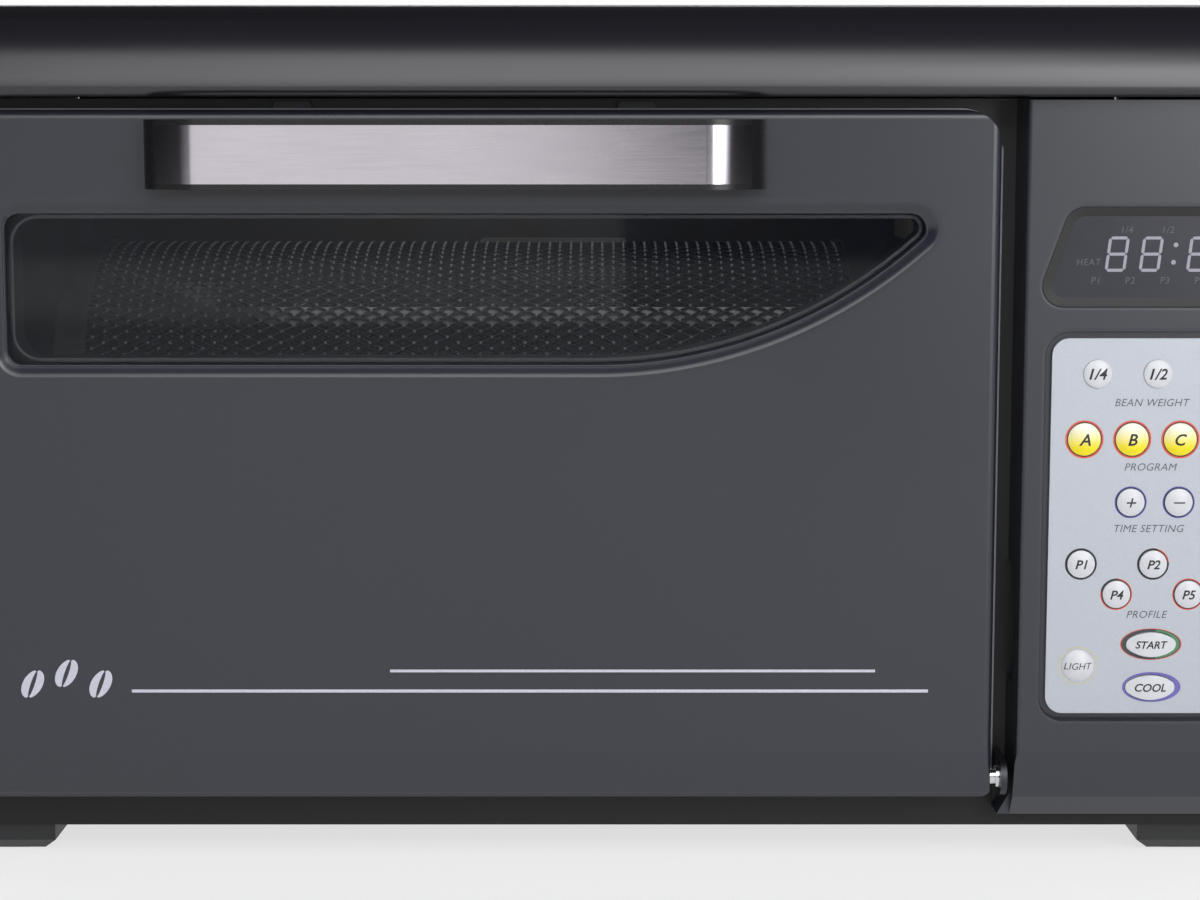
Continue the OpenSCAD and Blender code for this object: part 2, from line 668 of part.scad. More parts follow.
// The hatch's hinge line, just outside the mesh, and its knuckles
knuckle_r = 2.2;
leaf_l = 5;
hatch_t = 1;
hatch_pin_r = 1.1;
lap_a = 3.5;
hinge_a = hatch_a0 - lap_a - 2.2;
hinge_r = drum_r + knuckle_r + 0.4;
hatch_x0 = row_x0 + 1.5 * cell_l;
hatch_x1 = drum_x1 - (hatch_x0 - drum_x0);
knuckle_l = (hatch_x1 - hatch_x0) / 5;
module at_hatch_hinge() at_drum() at_angle(hinge_a) translate([0, -hinge_r, 0]) children();
module knuckle(k, tail, r0, r1) {
    x0 = hatch_x0 + k * knuckle_l + run / 2;
    x1 = x0 + knuckle_l - run;
    difference() {
        union() {
            rod_x(x0, x1, 0, 0, knuckle_r);
            block(x0, x1, hinge_r - r1, hinge_r - r0, min(0, tail), max(0, tail));
        }
        rod_x(x0 - over, x1 + over, 0, 0, hatch_pin_r + bore_fit);
    }
}

// The diamond holes of some rows over one panel: every second row is shifted by half a cell
module panel_holes(a0, rows, most = panel_cells) for (row = rows) {
    shift = row % 2 == 0 ? 0.5 : 1;
    for (k = [0 : most - 2 * shift]) translate([row_x0 + (row + 0.5) * cell_l, 0, 0])
        at_angle(a0 + (k + shift) * cell_a) diamond();
}

// One curved panel of the mesh, a seam's gap narrower than its share of the drum
seam_a = seat / drum_r * 90 / PI;
module mesh_panel(x0, x1, a0) intersection() {
    drum_tube(x0, x1, drum_r - mesh_t, drum_r);
    sector(x0 - over, x1 + over, a0 + seam_a, a0 + panel_a - seam_a);
}

module drum_mesh() color("#b5b6b8") {
    at_drum() for (k = [1 : mesh_panels - 1]) difference() {
        mesh_panel(drum_x0, drum_x1, hatch_a0 + k * panel_a);
        panel_holes(hatch_a0 + k * panel_a, [0 : mesh_rows - 1]);
    }
    at_drum() for (x = [[drum_x0, hatch_x0 + 4], [hatch_x1 - 4, drum_x1]]) difference() {
        mesh_panel(x[0], x[1], hatch_a0);
        panel_holes(hatch_a0, [0, mesh_rows - 1]);
    }
    for (k = [1, 3]) at_hatch_hinge() knuckle(k, -leaf_l, drum_r - mesh_t, drum_r + 1.2);
}

// The pressed end plates, their axle pin, square stub and vent holes
plate_t = 1.5;
rim_l = 9;
module drum_ends() color("#9d9ea1") at_drum() {
    difference() {
        union() {
            rod_x(drum_x0 - plate_t, drum_x0, 0, 0, drum_r + 1.4);
            drum_tube(drum_x0 - 0.5, drum_x0 + rim_l, drum_r + 0.3, drum_r + 1.4);
            rod_x(drum_x0 - plate_t - 2, drum_x0 - plate_t + 0.5, 0, 0, 13);
            rod_x(oven_x0 + 1, drum_x0 - plate_t, 0, 0, axle_r);
        }
        for (a = [0 : 60 : 300]) at_angle(a) translate([0, -drum_r * 0.58, 0])
            rod_x(drum_x0 - 9, drum_x0 + over, 0, 0, 9);
    }
    difference() {
        union() {
            rod_x(drum_x1, drum_x1 + plate_t, 0, 0, drum_r + 1.4);
            drum_tube(drum_x1 - rim_l, drum_x1 + 0.5, drum_r + 0.3, drum_r + 1.4);
            rod_x(drum_x1 + plate_t - 0.5, drum_x1 + plate_t + 2, 0, 0, 13);
            block(drum_x1 + plate_t, coupler_x0 + 6, -stub_w / 2, stub_w / 2, -stub_w / 2, stub_w / 2);
        }
        for (a = [0 : 60 : 300]) at_angle(a) translate([0, -drum_r * 0.58, 0])
            rod_x(drum_x1 - over, drum_x1 + 9, 0, 0, 9);
    }
}

// The strips that carry the seams of the mesh, and the slanting vanes on three of them.
// Each vane has its place along the drum and its strip; the two halves slant opposite ways.
seam_w = 8;
seam_t = 1.2;
seam_r = drum_r - mesh_t - seat;
vane_in = 0.4;
VANES = [[1, 2], [4, 2], [0, 4], [2, 4], [3, 4], [5, 4], [1, 6], [4, 6]];
module drum_vanes() color("#a8a9ab") at_drum() {
    for (k = [0 : mesh_panels - 1]) at_angle(hatch_a0 + k * panel_a)
        block(drum_x0, drum_x1, -seam_r, -seam_r + seam_t, -seam_w / 2, seam_w / 2);
    for (v = VANES) at_angle(hatch_a0 + v[1] * panel_a)
        translate([door_cx + (v[0] - 2.5) * vane_pitch, -seam_r + vane_in, 0])
            rotate([0, sign(v[0] - 2.5) * vane_tilt, 0])
                block(-vane_l / 2, vane_l / 2, 0, vane_h, -0.5, 0.5);
}

// The hatch that the beans go in by: a curved perforated flap that laps over the opening
module drum_hatch() color("#c2c3c5") {
    at_drum() difference() {
        intersection() {
            drum_tube(hatch_x0, hatch_x1, drum_r + run, drum_r + run + hatch_t);
            sector(hatch_x0 - over, hatch_x1 + over, hatch_a0 - lap_a, hatch_a1 + lap_a);
        }
        panel_holes(hatch_a0, [2 : 2 : mesh_rows - 3], panel_cells - 1);
        panel_holes(hatch_a0, [3 : 2 : mesh_rows - 4]);
    }
    for (k = [0, 2, 4]) at_hatch_hinge() knuckle(k, leaf_l, drum_r + run, drum_r + run + hatch_t);
}
module hatch_pin() color("#d0d1d3") at_hatch_hinge() rod_x(hatch_x0 - 1, hatch_x1 + 1, 0, 0, hatch_pin_r);

// The turn button that keeps the hatch shut
latch_a = hatch_a1 - 1.5;
latch_r = drum_r + run + hatch_t + 0.9;
module hatch_latch() color("#d9dadb") at_drum() at_angle(latch_a) {
    along_y(-latch_r - 1, -latch_r) round_rect(door_cx - 5, -6, door_cx + 5, 14, 4);
    along_y(-latch_r - 5, -latch_r - 1) round_rect(door_cx - 1.2, -3, door_cx + 1.2, 11, 1);
    rod_y(-latch_r, -drum_r - run - hatch_t, door_cx, 0, 2.2);
}

// ---- door ----

// The door from the front, from the side and from above, drawn in by d
module door_front(d)
    arch_rect(door_x0 + d, door_z0 + d, door_x1 - d, door_z1 - d, door_foot_r - d, door_r - d);
edge_r = 3;
toe = 2;
skin_back_y = door_back_y - sheet - seat;
module door_side(d, y1) {
    r = edge_r - d;
    translate([face_y + edge_r, door_z0 + d]) square([y1 - face_y - edge_r, door_z1 - door_z0 - 2 * d]);
    polygon([[face_y + d, door_z1 - edge_r], [face_y + d, crease_z], [face_y + toe + d, door_z0 + edge_r],
        [face_y + edge_r + toe, door_z0 + edge_r], [face_y + edge_r + toe, door_z1 - edge_r]]);
    translate([face_y + edge_r, door_z1 - edge_r]) circle(r);
    translate([face_y + edge_r + toe, door_z0 + edge_r]) circle(r);
}
module door_plan(d, y1) {
    translate([door_x0 + d, face_y + edge_r]) square([door_x1 - door_x0 - 2 * d, y1 - face_y - edge_r]);
    translate([door_x0 + edge_r, face_y + d]) square([door_x1 - door_x0 - 2 * edge_r, y1 - face_y - d]);
    for (x = [door_x0 + edge_r, door_x1 - edge_r]) translate([x, face_y + edge_r]) circle(edge_r - d);
}
module door_solid(d, y1) intersection() {
    along_y(face_y, y1) door_front(d);
    along_x(door_x0, door_x1) door_side(d, y1);
    along_z(door_z0, door_z1) door_plan(d, y1);
}

// The window's outline, grown by d: square at the left, swept up to a tip at the right
win_corner_r = 5;
module window(d, corner_r = win_corner_r) {
    sweep_z = window_z0 + win_sweep_r;
    tip = [window_x1 - win_tip_r, window_z1 - win_tip_r];
    sweep_x = tip[0] - sqrt(pow(win_sweep_r - win_tip_r, 2) - pow(sweep_z - tip[1], 2));
    touch = [sweep_x, sweep_z] + (tip - [sweep_x, sweep_z]) * win_sweep_r / (win_sweep_r - win_tip_r);
    out = (touch - tip) / win_tip_r;
    round_rect(window_x0 - d, window_z0 - d, sweep_x, window_z1 + d, corner_r);
    translate([sweep_x - 20, window_z0 - d]) square([20, win_h + 2 * d]);
    intersection() {
        translate([sweep_x, sweep_z]) circle(win_sweep_r + d, $fn = 256);
        polygon([[sweep_x - 1, window_z0 - d - 1], [sweep_x + 60, window_z0 - d - 1], touch + out * (d + 8),
            touch + out * d, [tip[0], tip[1]], [tip[0], window_z1 + d], [sweep_x - 1, window_z1 + d]]);
    }
    translate(tip) circle(win_tip_r + d);
}
rim_y = face_y + 2.4;
glass_y0 = rim_y + sheet;
glass_y1 = glass_y0 + glass_t;

module door_skin() color("#46474d") difference() {
    union() {
        difference() {
            door_solid(0, skin_back_y);
            difference() {
                door_solid(sheet, skin_back_y + over);
                block(door_x0, door_x1, face_y - over, face_y + sheet, door_z0, door_z1);
            }
            along_y(skin_back_y - over, skin_back_y + over) door_front(sheet);
        }
        along_y(face_y + sheet, glass_y0) window(win_rim + sheet);
    }
    along_y(face_y - over, rim_y) window(win_rim);
    along_y(face_y, glass_y0 + over) window(0);
    at_hinges() rod_x(-pin_in - over, over, hinge_y, hinge_z, pin_r + bore_fit);
    for (s = [-1, 1]) rod_y(face_y - over, face_y + 5, door_cx + s * post_x, handle_z, 2.2);
}
post_x = handle_w / 2 - 7;

module door_glass() color("#20242a", 0.45) along_y(glass_y0, glass_y1)
    round_rect(window_x0 - 8, window_z0 - 7, window_x1 + 6, window_z1 + 7, 6);

// The inner pan: a plate a little larger than the door, a wall inside the door's edge,
// and a tunnel around the window
liner_z0 = door_z0 + sheet + seat;
liner_r = door_r + 2;
module liner_wall(d)
    round_rect(door_x0 + d, liner_z0 + d - sheet - seat, door_x1 - d, door_z1 - d, door_r - d);
// The plate's outline: round upper corners, and a relief slit below each of them
slit_h = 2;
slit_drop = 10.5;
module liner_plate() difference() {
    arch_rect(door_x0 - liner_over, liner_z0, door_x1 + liner_over, door_z1 + 0.6, door_foot_r, liner_r);
    for (s = [-1, 1]) translate([door_cx + s * ((door_x1 - door_x0) / 2 + liner_over), door_z1 - slit_drop])
        square([2 * (liner_over + 0.5), slit_h], center = true);
}
module door_liner() color("#9c9da1") difference() {
    union() {
        along_y(door_back_y - sheet, door_back_y) liner_plate();
        along_y(hinge_y + spring_r + 2 * spring_wire_r, door_back_y - sheet) difference() {
            liner_wall(sheet + seat);
            liner_wall(2 * sheet + seat);
        }
        along_y(glass_y1 + seat, door_back_y - sheet) window(sheet - 2, 10);
    }
    along_y(face_y, door_back_y + over) window(-2, 8);
    at_hinges() rod_x(-pin_in - over, over, hinge_y, hinge_z, pin_r + bore_fit);
    for (k = [0 : 2]) along_y(door_back_y - 0.5, door_back_y + over)
        slot(door_cx, liner_z0 + 32 + k * 32, 250, 10);
}

// The handle from above, in (x, y) with the door's face at y = 0, drawn in by d
module bow(d) {
    w = handle_w / 2;
    c = w - handle_r;
    translate([-c, -handle_proj + d]) square([2 * c, handle_proj - d]);
    translate([-w + d, -handle_proj + handle_r]) square([2 * w - 2 * d, handle_proj - handle_r]);
    intersection() {
        for (s = [-1, 1]) translate([s * c, -handle_proj + handle_r]) circle(handle_r - d);
        translate([-w, -handle_proj]) square([2 * w, handle_proj]);
    }
}
// The strip ends where the bend has turned by this much
strip_end = handle_r * (1 - cos(47));
module strip_band() intersection() {
    difference() {
        bow(0);
        bow(strip_t);
    }
    translate([-handle_w / 2, -handle_proj]) square([handle_w, strip_end]);
}
module at_handle(h) translate([door_cx, face_y, handle_z - h / 2]) linear_extrude(h) children();
module handle_core() color("#131315") difference() {
    at_handle(handle_h) difference() {
        bow(0);
        bow(bow_t);
    }
    at_handle(strip_h) strip_band();
    for (s = [-1, 1]) rod_y(face_y - 12, face_y + over, door_cx + s * post_x, handle_z, 1.6);
    intersection() {
        at_handle(handle_h + 2) difference() {
            bow(-0.01);
            bow(bow_t);
        }
        at_handle(strip_h) strip_band();
    }
}
module handle_strip() color("#cfcdd2") at_handle(strip_h) strip_band();

// Two handle screws from inside the door, and six that hold the inner pan
module door_screws() color("#8a8b8f") {
    for (s = [-1, 1]) translate([door_cx + s * post_x, face_y + sheet, handle_z]) rotate([-90, 0, 0])
        pan_screw(1.5, 11);
    for (s = [-1, 0, 1], z = [liner_z0 + 14, door_z1 - 12])
        translate([door_cx + s * 150, door_back_y, z]) rotate([-90, 0, 0]) cylinder(h = 1, r = 3);
}

// Torsion springs around the hinge pins, inside the door
spring_wire_r = 0.5;
spring_r = pin_r + spring_wire_r + 0.25;
spring_turns = 4;
spring_steps = 14;
function spring_at(i) = let (a = i * 360 / spring_steps)
    [2 - pin_in + i / spring_steps * 1.7, spring_r * cos(a), spring_r * sin(a)];
module door_springs() color("#b0b1b5") at_hinges() translate([0, hinge_y, hinge_z])
    wire([for (i = [0 : spring_turns * spring_steps]) spring_at(i)], spring_wire_r, 6);

// A wire along a list of points that winds around X
module wire(pts, r, sides) {
    n = len(pts);
    function ring(i) = let (p = pts[i], radial = [0, p[1], p[2]] / norm([0, p[1], p[2]]), side = [1, 0, 0])
        [for (k = [0 : sides - 1]) p + r * (radial * cos(k * 360 / sides) + side * sin(k * 360 / sides))];
    polyhedron(
        points = [for (i = [0 : n - 1]) each ring(i)],
        faces = concat([[for (k = [sides - 1 : -1 : 0]) k]],
            [for (i = [0 : n - 2], k = [0 : sides - 1])
                let (a = i * sides, b = a + sides, l = (k + 1) % sides) [a + l, b + l, b + k, a + k]],
            [[for (k = [0 : sides - 1]) (n - 1) * sides + k]]));
}

// ---- key panel ----

panel_z1 = nose_z - 0.9;
knee = [face_y + 4.5, crease_z - 16];
lip = [face_y + 10.5, crease_z - 23.3];
panel_z0 = lip[1];
flare = 4.1;

// The outline with each edge moved inwards by its own distance. Points run anticlockwise.
function edge(a, b, d) = let (n = [a[1] - b[1], b[0] - a[0]] / norm(b - a)) [n, n * a + d];
function meet(e, f) = let (k = e[0][0] * f[0][1] - e[0][1] * f[0][0])
    [(e[1] * f[0][1] - f[1] * e[0][1]) / k, (e[0][0] * f[1] - f[0][0] * e[1]) / k];
function inset(pts, ds) = let (n = len(pts)) [for (i = [0 : n - 1]) let (h = (i + n - 1) % n)
    meet(edge(pts[h], pts[i], ds[h]), edge(pts[i], pts[(i + 1) % n], ds[i]))];

// The panel from the side: its back, top, front, the slope under the crease, the lip and the floor
panel_pts = [[frame_y, panel_z0], [frame_y, panel_z1], [face_y, panel_z1], [face_y, crease_z], knee, lip];
panel_in = [-over, panel_wall, panel_front, panel_wall, panel_wall, panel_wall];

pad_x0 = panel_cx - pad_w / 2;
pad_x1 = panel_cx + pad_w / 2;
pad_z0 = door_z0 + pad_up;
lens_z1 = panel_z1 - lens_drop;
lens_z0 = lens_z1 - lens_h;
pad_z1 = lens_z0 - lens_up;
pad_h = pad_z1 - pad_z0;
pad_y0 = face_y + pad_sink - pad_t;
pad_y1 = face_y + pad_sink;

// The display's outline, a trapezium with round corners, grown by d
module lens(d) {
    r = 3.5;
    h0 = pad_w / 2 - r + 0.6;
    h1 = h0 - 6.5;
    round_poly([[panel_cx - h0, lens_z0 + r], [panel_cx + h0, lens_z0 + r],
        [panel_cx + h1, lens_z1 - r], [panel_cx - h1, lens_z1 - r]], r + d);
}
lens_rim = 3.4;
pad_r = 5.5;
pad_ledge = 3;
// The key plate's outline, grown by d
module pad(d) round_rect(pad_x0 - d, pad_z0 - d, pad_x1 + d, pad_z1 + d, max(pad_r + d, 3));

// The board behind the panel and the posts it is screwed to
board_y = face_y + 13.5;
board_t = 1.6;
post_zs = [pad_z0 - 6.6, (pad_z1 + lens_z0) / 2 - 1, lens_z1 + 13.1];
posts = [for (s = [-34, 34], z = post_zs) [s, z]];

module control_panel() color("#4b4c52") difference() {
    union() {
        difference() {
            intersection() {
                along_x(panel_x0, panel_x1) polygon(panel_pts);
                along_z(panel_z0 - over, panel_z1 + over) {
                    translate([panel_x0, face_y + 1.5]) square([panel_w, frame_y - face_y - 1.5]);
                    translate([panel_x0 + 1.5, face_y]) square([panel_w - 3, 3]);
                    for (x = [panel_x0 + 1.5, panel_x1 - 1.5]) translate([x, face_y + 1.5]) circle(1.5);
                }
            }
            along_x(panel_x0 + panel_wall, panel_x1 - panel_wall) polygon(inset(panel_pts, panel_in));
        }
        along_y(lip[0], frame_y - seat)
            polygon([[panel_x0 - flare, panel_z0], [panel_x0 + 1, panel_z0], [panel_x0 + 1, knee[1]],
                [panel_x0, knee[1]]]);
        for (p = posts) rod_y(face_y + panel_front - 0.5, board_y, panel_cx + p[0], p[1], 3);
    }
    along_y(face_y - over, face_y + 2.2) lens(lens_rim);
    along_y(face_y, face_y + panel_front + over) lens(-2);
    along_y(face_y - over, pad_y1) pad(pad_rim);
    along_y(face_y, face_y + panel_front + over) pad(-pad_ledge);
    block(panel_x0 - over, panel_x0 + panel_wall + over, face_y + 9, frame_y + over,
        pad_z0 + 8.4, pad_z0 + 47.4);
    for (p = posts) rod_y(face_y + panel_front + 1, board_y + over, panel_cx + p[0], p[1], 1.2);
}

module display_lens() color("#30323a", 0.7) along_y(face_y + 2.2 - 1.5, face_y + 2.2) lens(lens_rim - 1);

module key_plate() color("#c3c6cd") difference() {
    along_y(pad_y0, pad_y1) pad(0);
    for (k = KEYS) along_y(pad_y0 - over, pad_y1 + over) key_outline(k, run);
}

// Every key: distance from the panel's middle, height, and size. A key with a third size is an oval.
function row(share) = pad_z0 + share * pad_h;
weight_z = row(0.907);
program_z = row(0.734);
step_z = row(0.567);
profile_z = row(0.402);
profile2_z = row(0.321);
start_z = row(0.1865);
cool_z = row(0.0707);
lamp_key_z = (start_z + cool_z) / 2;
KEYS = [
    [-19.2, weight_z, 9], [0, weight_z, 9], [19.2, weight_z, 9],
    [-23, program_z, 10.4], [-7.7, program_z, 10.4], [7.7, program_z, 10.4], [23, program_z, 10.4],
    [-7.7, step_z, 8.8], [7.7, step_z, 8.8],
    [-23.2, profile_z, 8.8], [0, profile_z, 8.8], [23.2, profile_z, 8.8],
    [-11.6, profile2_z, 8.8], [11.6, profile2_z, 8.8],
    [0, start_z, 16, 8], [0, cool_z, 16, 8], [-23.5, lamp_key_z, 10.4], [23.5, lamp_key_z, 10.4]];

// An oval of four arcs, grown by d
module oval(w, h, d) {
    a = w / 2;
    b = h / 2;
    e = b * 0.6;
    big = (pow(a - e, 2) + b * b - e * e) / (2 * (b - e));
    joint = (a - e) * big / (big - e);
    intersection() {
        translate([0, b - big]) circle(big + d);
        translate([0, big - b]) circle(big + d);
        square([2 * joint, 4 * h], center = true);
    }
    for (s = [-1, 1]) translate([s * (a - e), 0]) circle(e + d);
}
module key_outline(k, d) translate([panel_cx + k[0], k[1]])
    if (len(k) > 3) oval(k[2], k[3], d);
    else circle(k[2] / 2 + d);

// One key: a crowned cap through the plate, a flange behind it and a stem to its switch
switch_h = 3.6;
switch_w = 6;
module key(i) {
    k = KEYS[i];
    crown = len(k) > 3 ? 26 : 10;
    stem_y = board_y - switch_h - key_travel - run;
    intersection() {
        along_y(pad_y0 - key_rise, pad_y1 + run) key_outline(k, 0);
        translate([panel_cx + k[0], pad_y0 - key_rise + crown, k[1]]) rotate([0, 90, 0])
            sphere(crown, $fn = 96);
    }
    along_y(pad_y1 + run, pad_y1 + run + 1) key_outline(k, 1);
    rod_y(pad_y1 + run + 0.9, stem_y, panel_cx + k[0], k[1], 1.8);
}
silver = "#d5d7db";
module key_quarter() color(silver) key(0);
module key_half() color(silver) key(1);
module key_full() color(silver) key(2);
module key_a() color("#efe13a") key(3);
module key_b() color("#efe13a") key(4);
module key_c() color("#efe13a") key(5);
module key_d() color("#efe13a") key(6);
module key_plus() color(silver) key(7);
module key_minus() color(silver) key(8);
module key_p1() color(silver) key(9);
module key_p2() color(silver) key(10);
module key_p3() color(silver) key(11);
module key_p4() color(silver) key(12);
module key_p5() color(silver) key(13);
module key_start() color(silver) key(14);
module key_cool() color(silver) key(15);
module key_light() color(silver) key(16);
module key_off() color(silver) key(17);

// The board with its switches and the display block that stands behind the lens
module control_board() color("#2f6b46") difference() {
    union() {
        along_y(board_y, board_y + board_t) round_rect(panel_cx - 39, post_zs[0] - 6, panel_cx + 39, post_zs[2] + 6, 2);
        for (k = KEYS) translate([panel_cx + k[0], 0, k[1]])
            block(-switch_w / 2, switch_w / 2, board_y - switch_h, board_y, -switch_w / 2, switch_w / 2);
        block(panel_cx - 24, panel_cx + 24, face_y + panel_front + seat, board_y, lens_z0 + 3, lens_z1 - 3);
    }
    for (p = posts) rod_y(board_y - over, board_y + board_t + over, panel_cx + p[0], p[1], 1.4);
}

outer_cover();
base_pan();
feet();
foot_pads();
back_panel();
front_frame();
oven_liner();
hinge_ears();
hinge_pins();
door_bumpers();
chaff_tray();
drum_cradle();
heater_tubes();
heater_caps();
heater_reflector();
heater_guard();
exhaust_baffle();
exhaust_duct();
oven_lamp();
gear_motor();
fan_frame();
fan_rotor();
cord_gland();
cabinet_screws();
control_panel();
display_lens();
control_board();
key_plate();
key_quarter();
key_half();
key_full();
key_a();
key_b();
key_c();
key_d();
key_plus();
key_minus();
key_p1();
key_p2();
key_p3();
key_p4();
key_p5();
key_start();
key_cool();
key_light();
key_off();
door_skin();
door_liner();
door_glass();
handle_core();
handle_strip();
door_screws();
door_springs();
drive_coupler();
drum_mesh();
drum_ends();
drum_vanes();
drum_hatch();
hatch_pin();
hatch_latch();
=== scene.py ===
import math

import bpy
import bmesh
from mathutils import Matrix, Vector


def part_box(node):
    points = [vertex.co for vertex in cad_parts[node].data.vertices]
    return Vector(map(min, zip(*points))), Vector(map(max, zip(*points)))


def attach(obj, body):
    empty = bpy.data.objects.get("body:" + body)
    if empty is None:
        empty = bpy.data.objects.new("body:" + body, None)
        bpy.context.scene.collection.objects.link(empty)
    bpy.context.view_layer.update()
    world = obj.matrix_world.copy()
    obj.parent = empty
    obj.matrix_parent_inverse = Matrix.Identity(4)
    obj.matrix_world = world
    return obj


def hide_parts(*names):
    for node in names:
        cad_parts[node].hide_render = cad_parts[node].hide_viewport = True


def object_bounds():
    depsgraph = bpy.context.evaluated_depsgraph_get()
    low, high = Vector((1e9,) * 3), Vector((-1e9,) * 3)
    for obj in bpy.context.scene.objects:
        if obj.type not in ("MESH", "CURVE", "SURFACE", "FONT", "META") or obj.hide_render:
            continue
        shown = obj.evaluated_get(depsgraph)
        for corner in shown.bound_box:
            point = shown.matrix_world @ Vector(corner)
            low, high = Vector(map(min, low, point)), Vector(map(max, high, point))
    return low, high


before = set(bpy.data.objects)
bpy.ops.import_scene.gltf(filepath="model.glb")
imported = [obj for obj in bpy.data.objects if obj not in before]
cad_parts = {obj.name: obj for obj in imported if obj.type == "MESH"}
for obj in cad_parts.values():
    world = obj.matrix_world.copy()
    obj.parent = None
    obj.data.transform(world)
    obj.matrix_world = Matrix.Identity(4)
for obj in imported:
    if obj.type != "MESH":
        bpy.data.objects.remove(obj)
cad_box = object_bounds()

scene = bpy.context.scene
mm = 0.001


# ---- camera ----
# The photograph is taken from just above the middle of the front, close enough that both
# ends of the cabinet run out of the picture.
EYE = (1.3 * mm, -965.53 * mm, 241.57 * mm)
TILT = math.radians(90 - 7.1137)
LENS = 78
camera_data = bpy.data.cameras.new("camera")
camera_data.lens = LENS
camera_data.sensor_width = 36
camera_data.clip_start = 0.01
camera_data.clip_end = 30
camera = bpy.data.objects.new("camera", camera_data)
camera.location = EYE
camera.rotation_euler = (TILT, 0, 0)
scene.collection.objects.link(camera)
scene.camera = camera
scene.view_settings.view_transform = "Standard"


# ---- floor and light ----
# A white floor; soft boxes above the front, on its right, behind and at both sides; a pale
# card at the front's left; a small light under the oven's roof; and a dim room.
class Sock:
    """A socket of a material's node tree; arithmetic on it adds Math nodes."""

    def __init__(self, mat, out):
        self.mat = mat
        self.out = out

    def _math(self, op, a, b):
        return self.mat.add("ShaderNodeMath", {"operation": op}, {0: a, 1: b})

    def __add__(self, other):
        return self._math("ADD", self, other)

    def __rsub__(self, other):
        return self._math("SUBTRACT", other, self)

    def __mul__(self, other):
        return self._math("MULTIPLY", self, other)

    def high(self, other):
        return self._math("MAXIMUM", self, other)

    def step(self, start, end):
        """0 before start, 1 after end, smooth between them"""
        return self.mat.add(
            "ShaderNodeMapRange",
            {"interpolation_type": "SMOOTHSTEP"},
            {"Value": self, "From Min": start, "From Max": end},
        )


class Nodes:
    """A node tree whose nodes are added one by one."""

    def __init__(self, data):
        self.data = data
        self.data.use_nodes = True
        self.tree = data.node_tree

    def add(self, kind, settings=None, inputs=None, out=0):
        """Adds a node; settings are its properties, inputs its values or linked sockets"""
        node = self.tree.nodes.new(kind)
        for key, value in (settings or {}).items():
            setattr(node, key, value)
        for key, value in (inputs or {}).items():
            self.link(node.inputs[key], value)
        return Sock(self, node.outputs[out])

    def link(self, socket, value):
        if isinstance(value, Sock):
            self.tree.links.new(value.out, socket)
        elif isinstance(value, tuple) and socket.type == "RGBA":
            socket.default_value = (*value, 1)
        else:
            socket.default_value = value

    def split(self, vector):
        """The three numbers of a vector"""
        node = self.tree.nodes.new("ShaderNodeSeparateXYZ")
        self.link(node.inputs[0], vector)
        return [Sock(self, node.outputs[i]) for i in range(3)]


class Mat(Nodes):
    """A material with one main shader."""

    def __init__(self, name, **constants):
        super().__init__(bpy.data.materials.new(name))
        self.shader = self.tree.nodes["Principled BSDF"]
        self.set(**constants)

    def set(self, **inputs):
        """Sets the main shader's sockets: base_color is Base Color"""
        for key, value in inputs.items():
            name = key.replace("_", " ").title().replace("Ior", "IOR")
            self.link(self.shader.inputs[name], value)
        return self

    def place(self):
        """The place on the object, in metres"""
        return self.add("ShaderNodeTexCoord", out=3)

    def axes(self):
        """The three numbers of that place"""
        return self.split(self.place())

    def noise(self, size, detail=2.0, stretch=(1, 1, 1), rough=0.5):
        """Soft noise from 0 to 1 whose spots are about size across, drawn out along the axes"""
        at = self.add("ShaderNodeVectorMath", {"operation": "MULTIPLY"},
                      {0: self.place(), 1: tuple(1 / (size * s) for s in stretch)})
        return self.add("ShaderNodeTexNoise", None,
                        {"Vector": at, "Scale": 1.0, "Detail": detail, "Roughness": rough})

    def mix(self, factor, first, second):
        """A colour between two colours"""
        node = self.tree.nodes.new("ShaderNodeMix")
        node.data_type = "RGBA"
        self.link(node.inputs["Factor"], factor)
        self.link(node.inputs["A"], first)
        self.link(node.inputs["B"], second)
        return Sock(self, node.outputs["Result"])

    def bump(self, height, depth, strength=1.0):
        """Feeds a height from 0 to 1, depth metres tall, to the shader's normal"""
        node = self.add("ShaderNodeBump", None,
                        {"Height": height, "Distance": depth, "Strength": strength})
        self.set(normal=node)
        return self


def rgb(code):
    """A colour written as in a picture, made linear"""
    parts = [int(code[i : i + 2], 16) / 255 for i in (1, 3, 5)]
    return tuple(c / 12.92 if c <= 0.04045 else ((c + 0.055) / 1.055) ** 2.4 for c in parts)


def dress(node, material):
    """Gives a CAD node its material"""
    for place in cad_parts[node].material_slots:
        place.link = "OBJECT"
        place.material = material.data


def lamp(name, place, aim, width, height, power):
    """A soft box at place that faces aim"""
    data = bpy.data.lights.new(name, "AREA")
    data.shape = "RECTANGLE"
    data.size = width
    data.size_y = height
    data.energy = power
    box = bpy.data.objects.new(name, data)
    box.location = place
    box.rotation_euler = (Vector(aim) - Vector(place)).to_track_quat("-Z", "Y").to_euler()
    scene.collection.objects.link(box)


def pick(obj):
    """Makes obj the one selected and active object"""
    if bpy.context.mode != "OBJECT":
        bpy.ops.object.mode_set(mode="OBJECT")
    bpy.ops.object.select_all(action="DESELECT")
    obj.select_set(True)
    bpy.context.view_layer.objects.active = obj
    return obj


bpy.ops.mesh.primitive_plane_add(size=8, location=(0, 0, cad_box[0].z))
floor = bpy.context.object
floor.name = "floor"
FLOOR_GLOW = 0.7
paper = Mat("floor_white", base_color=rgb("#f6f6f7"), roughness=0.9)
floor.data.materials.append(paper.data)


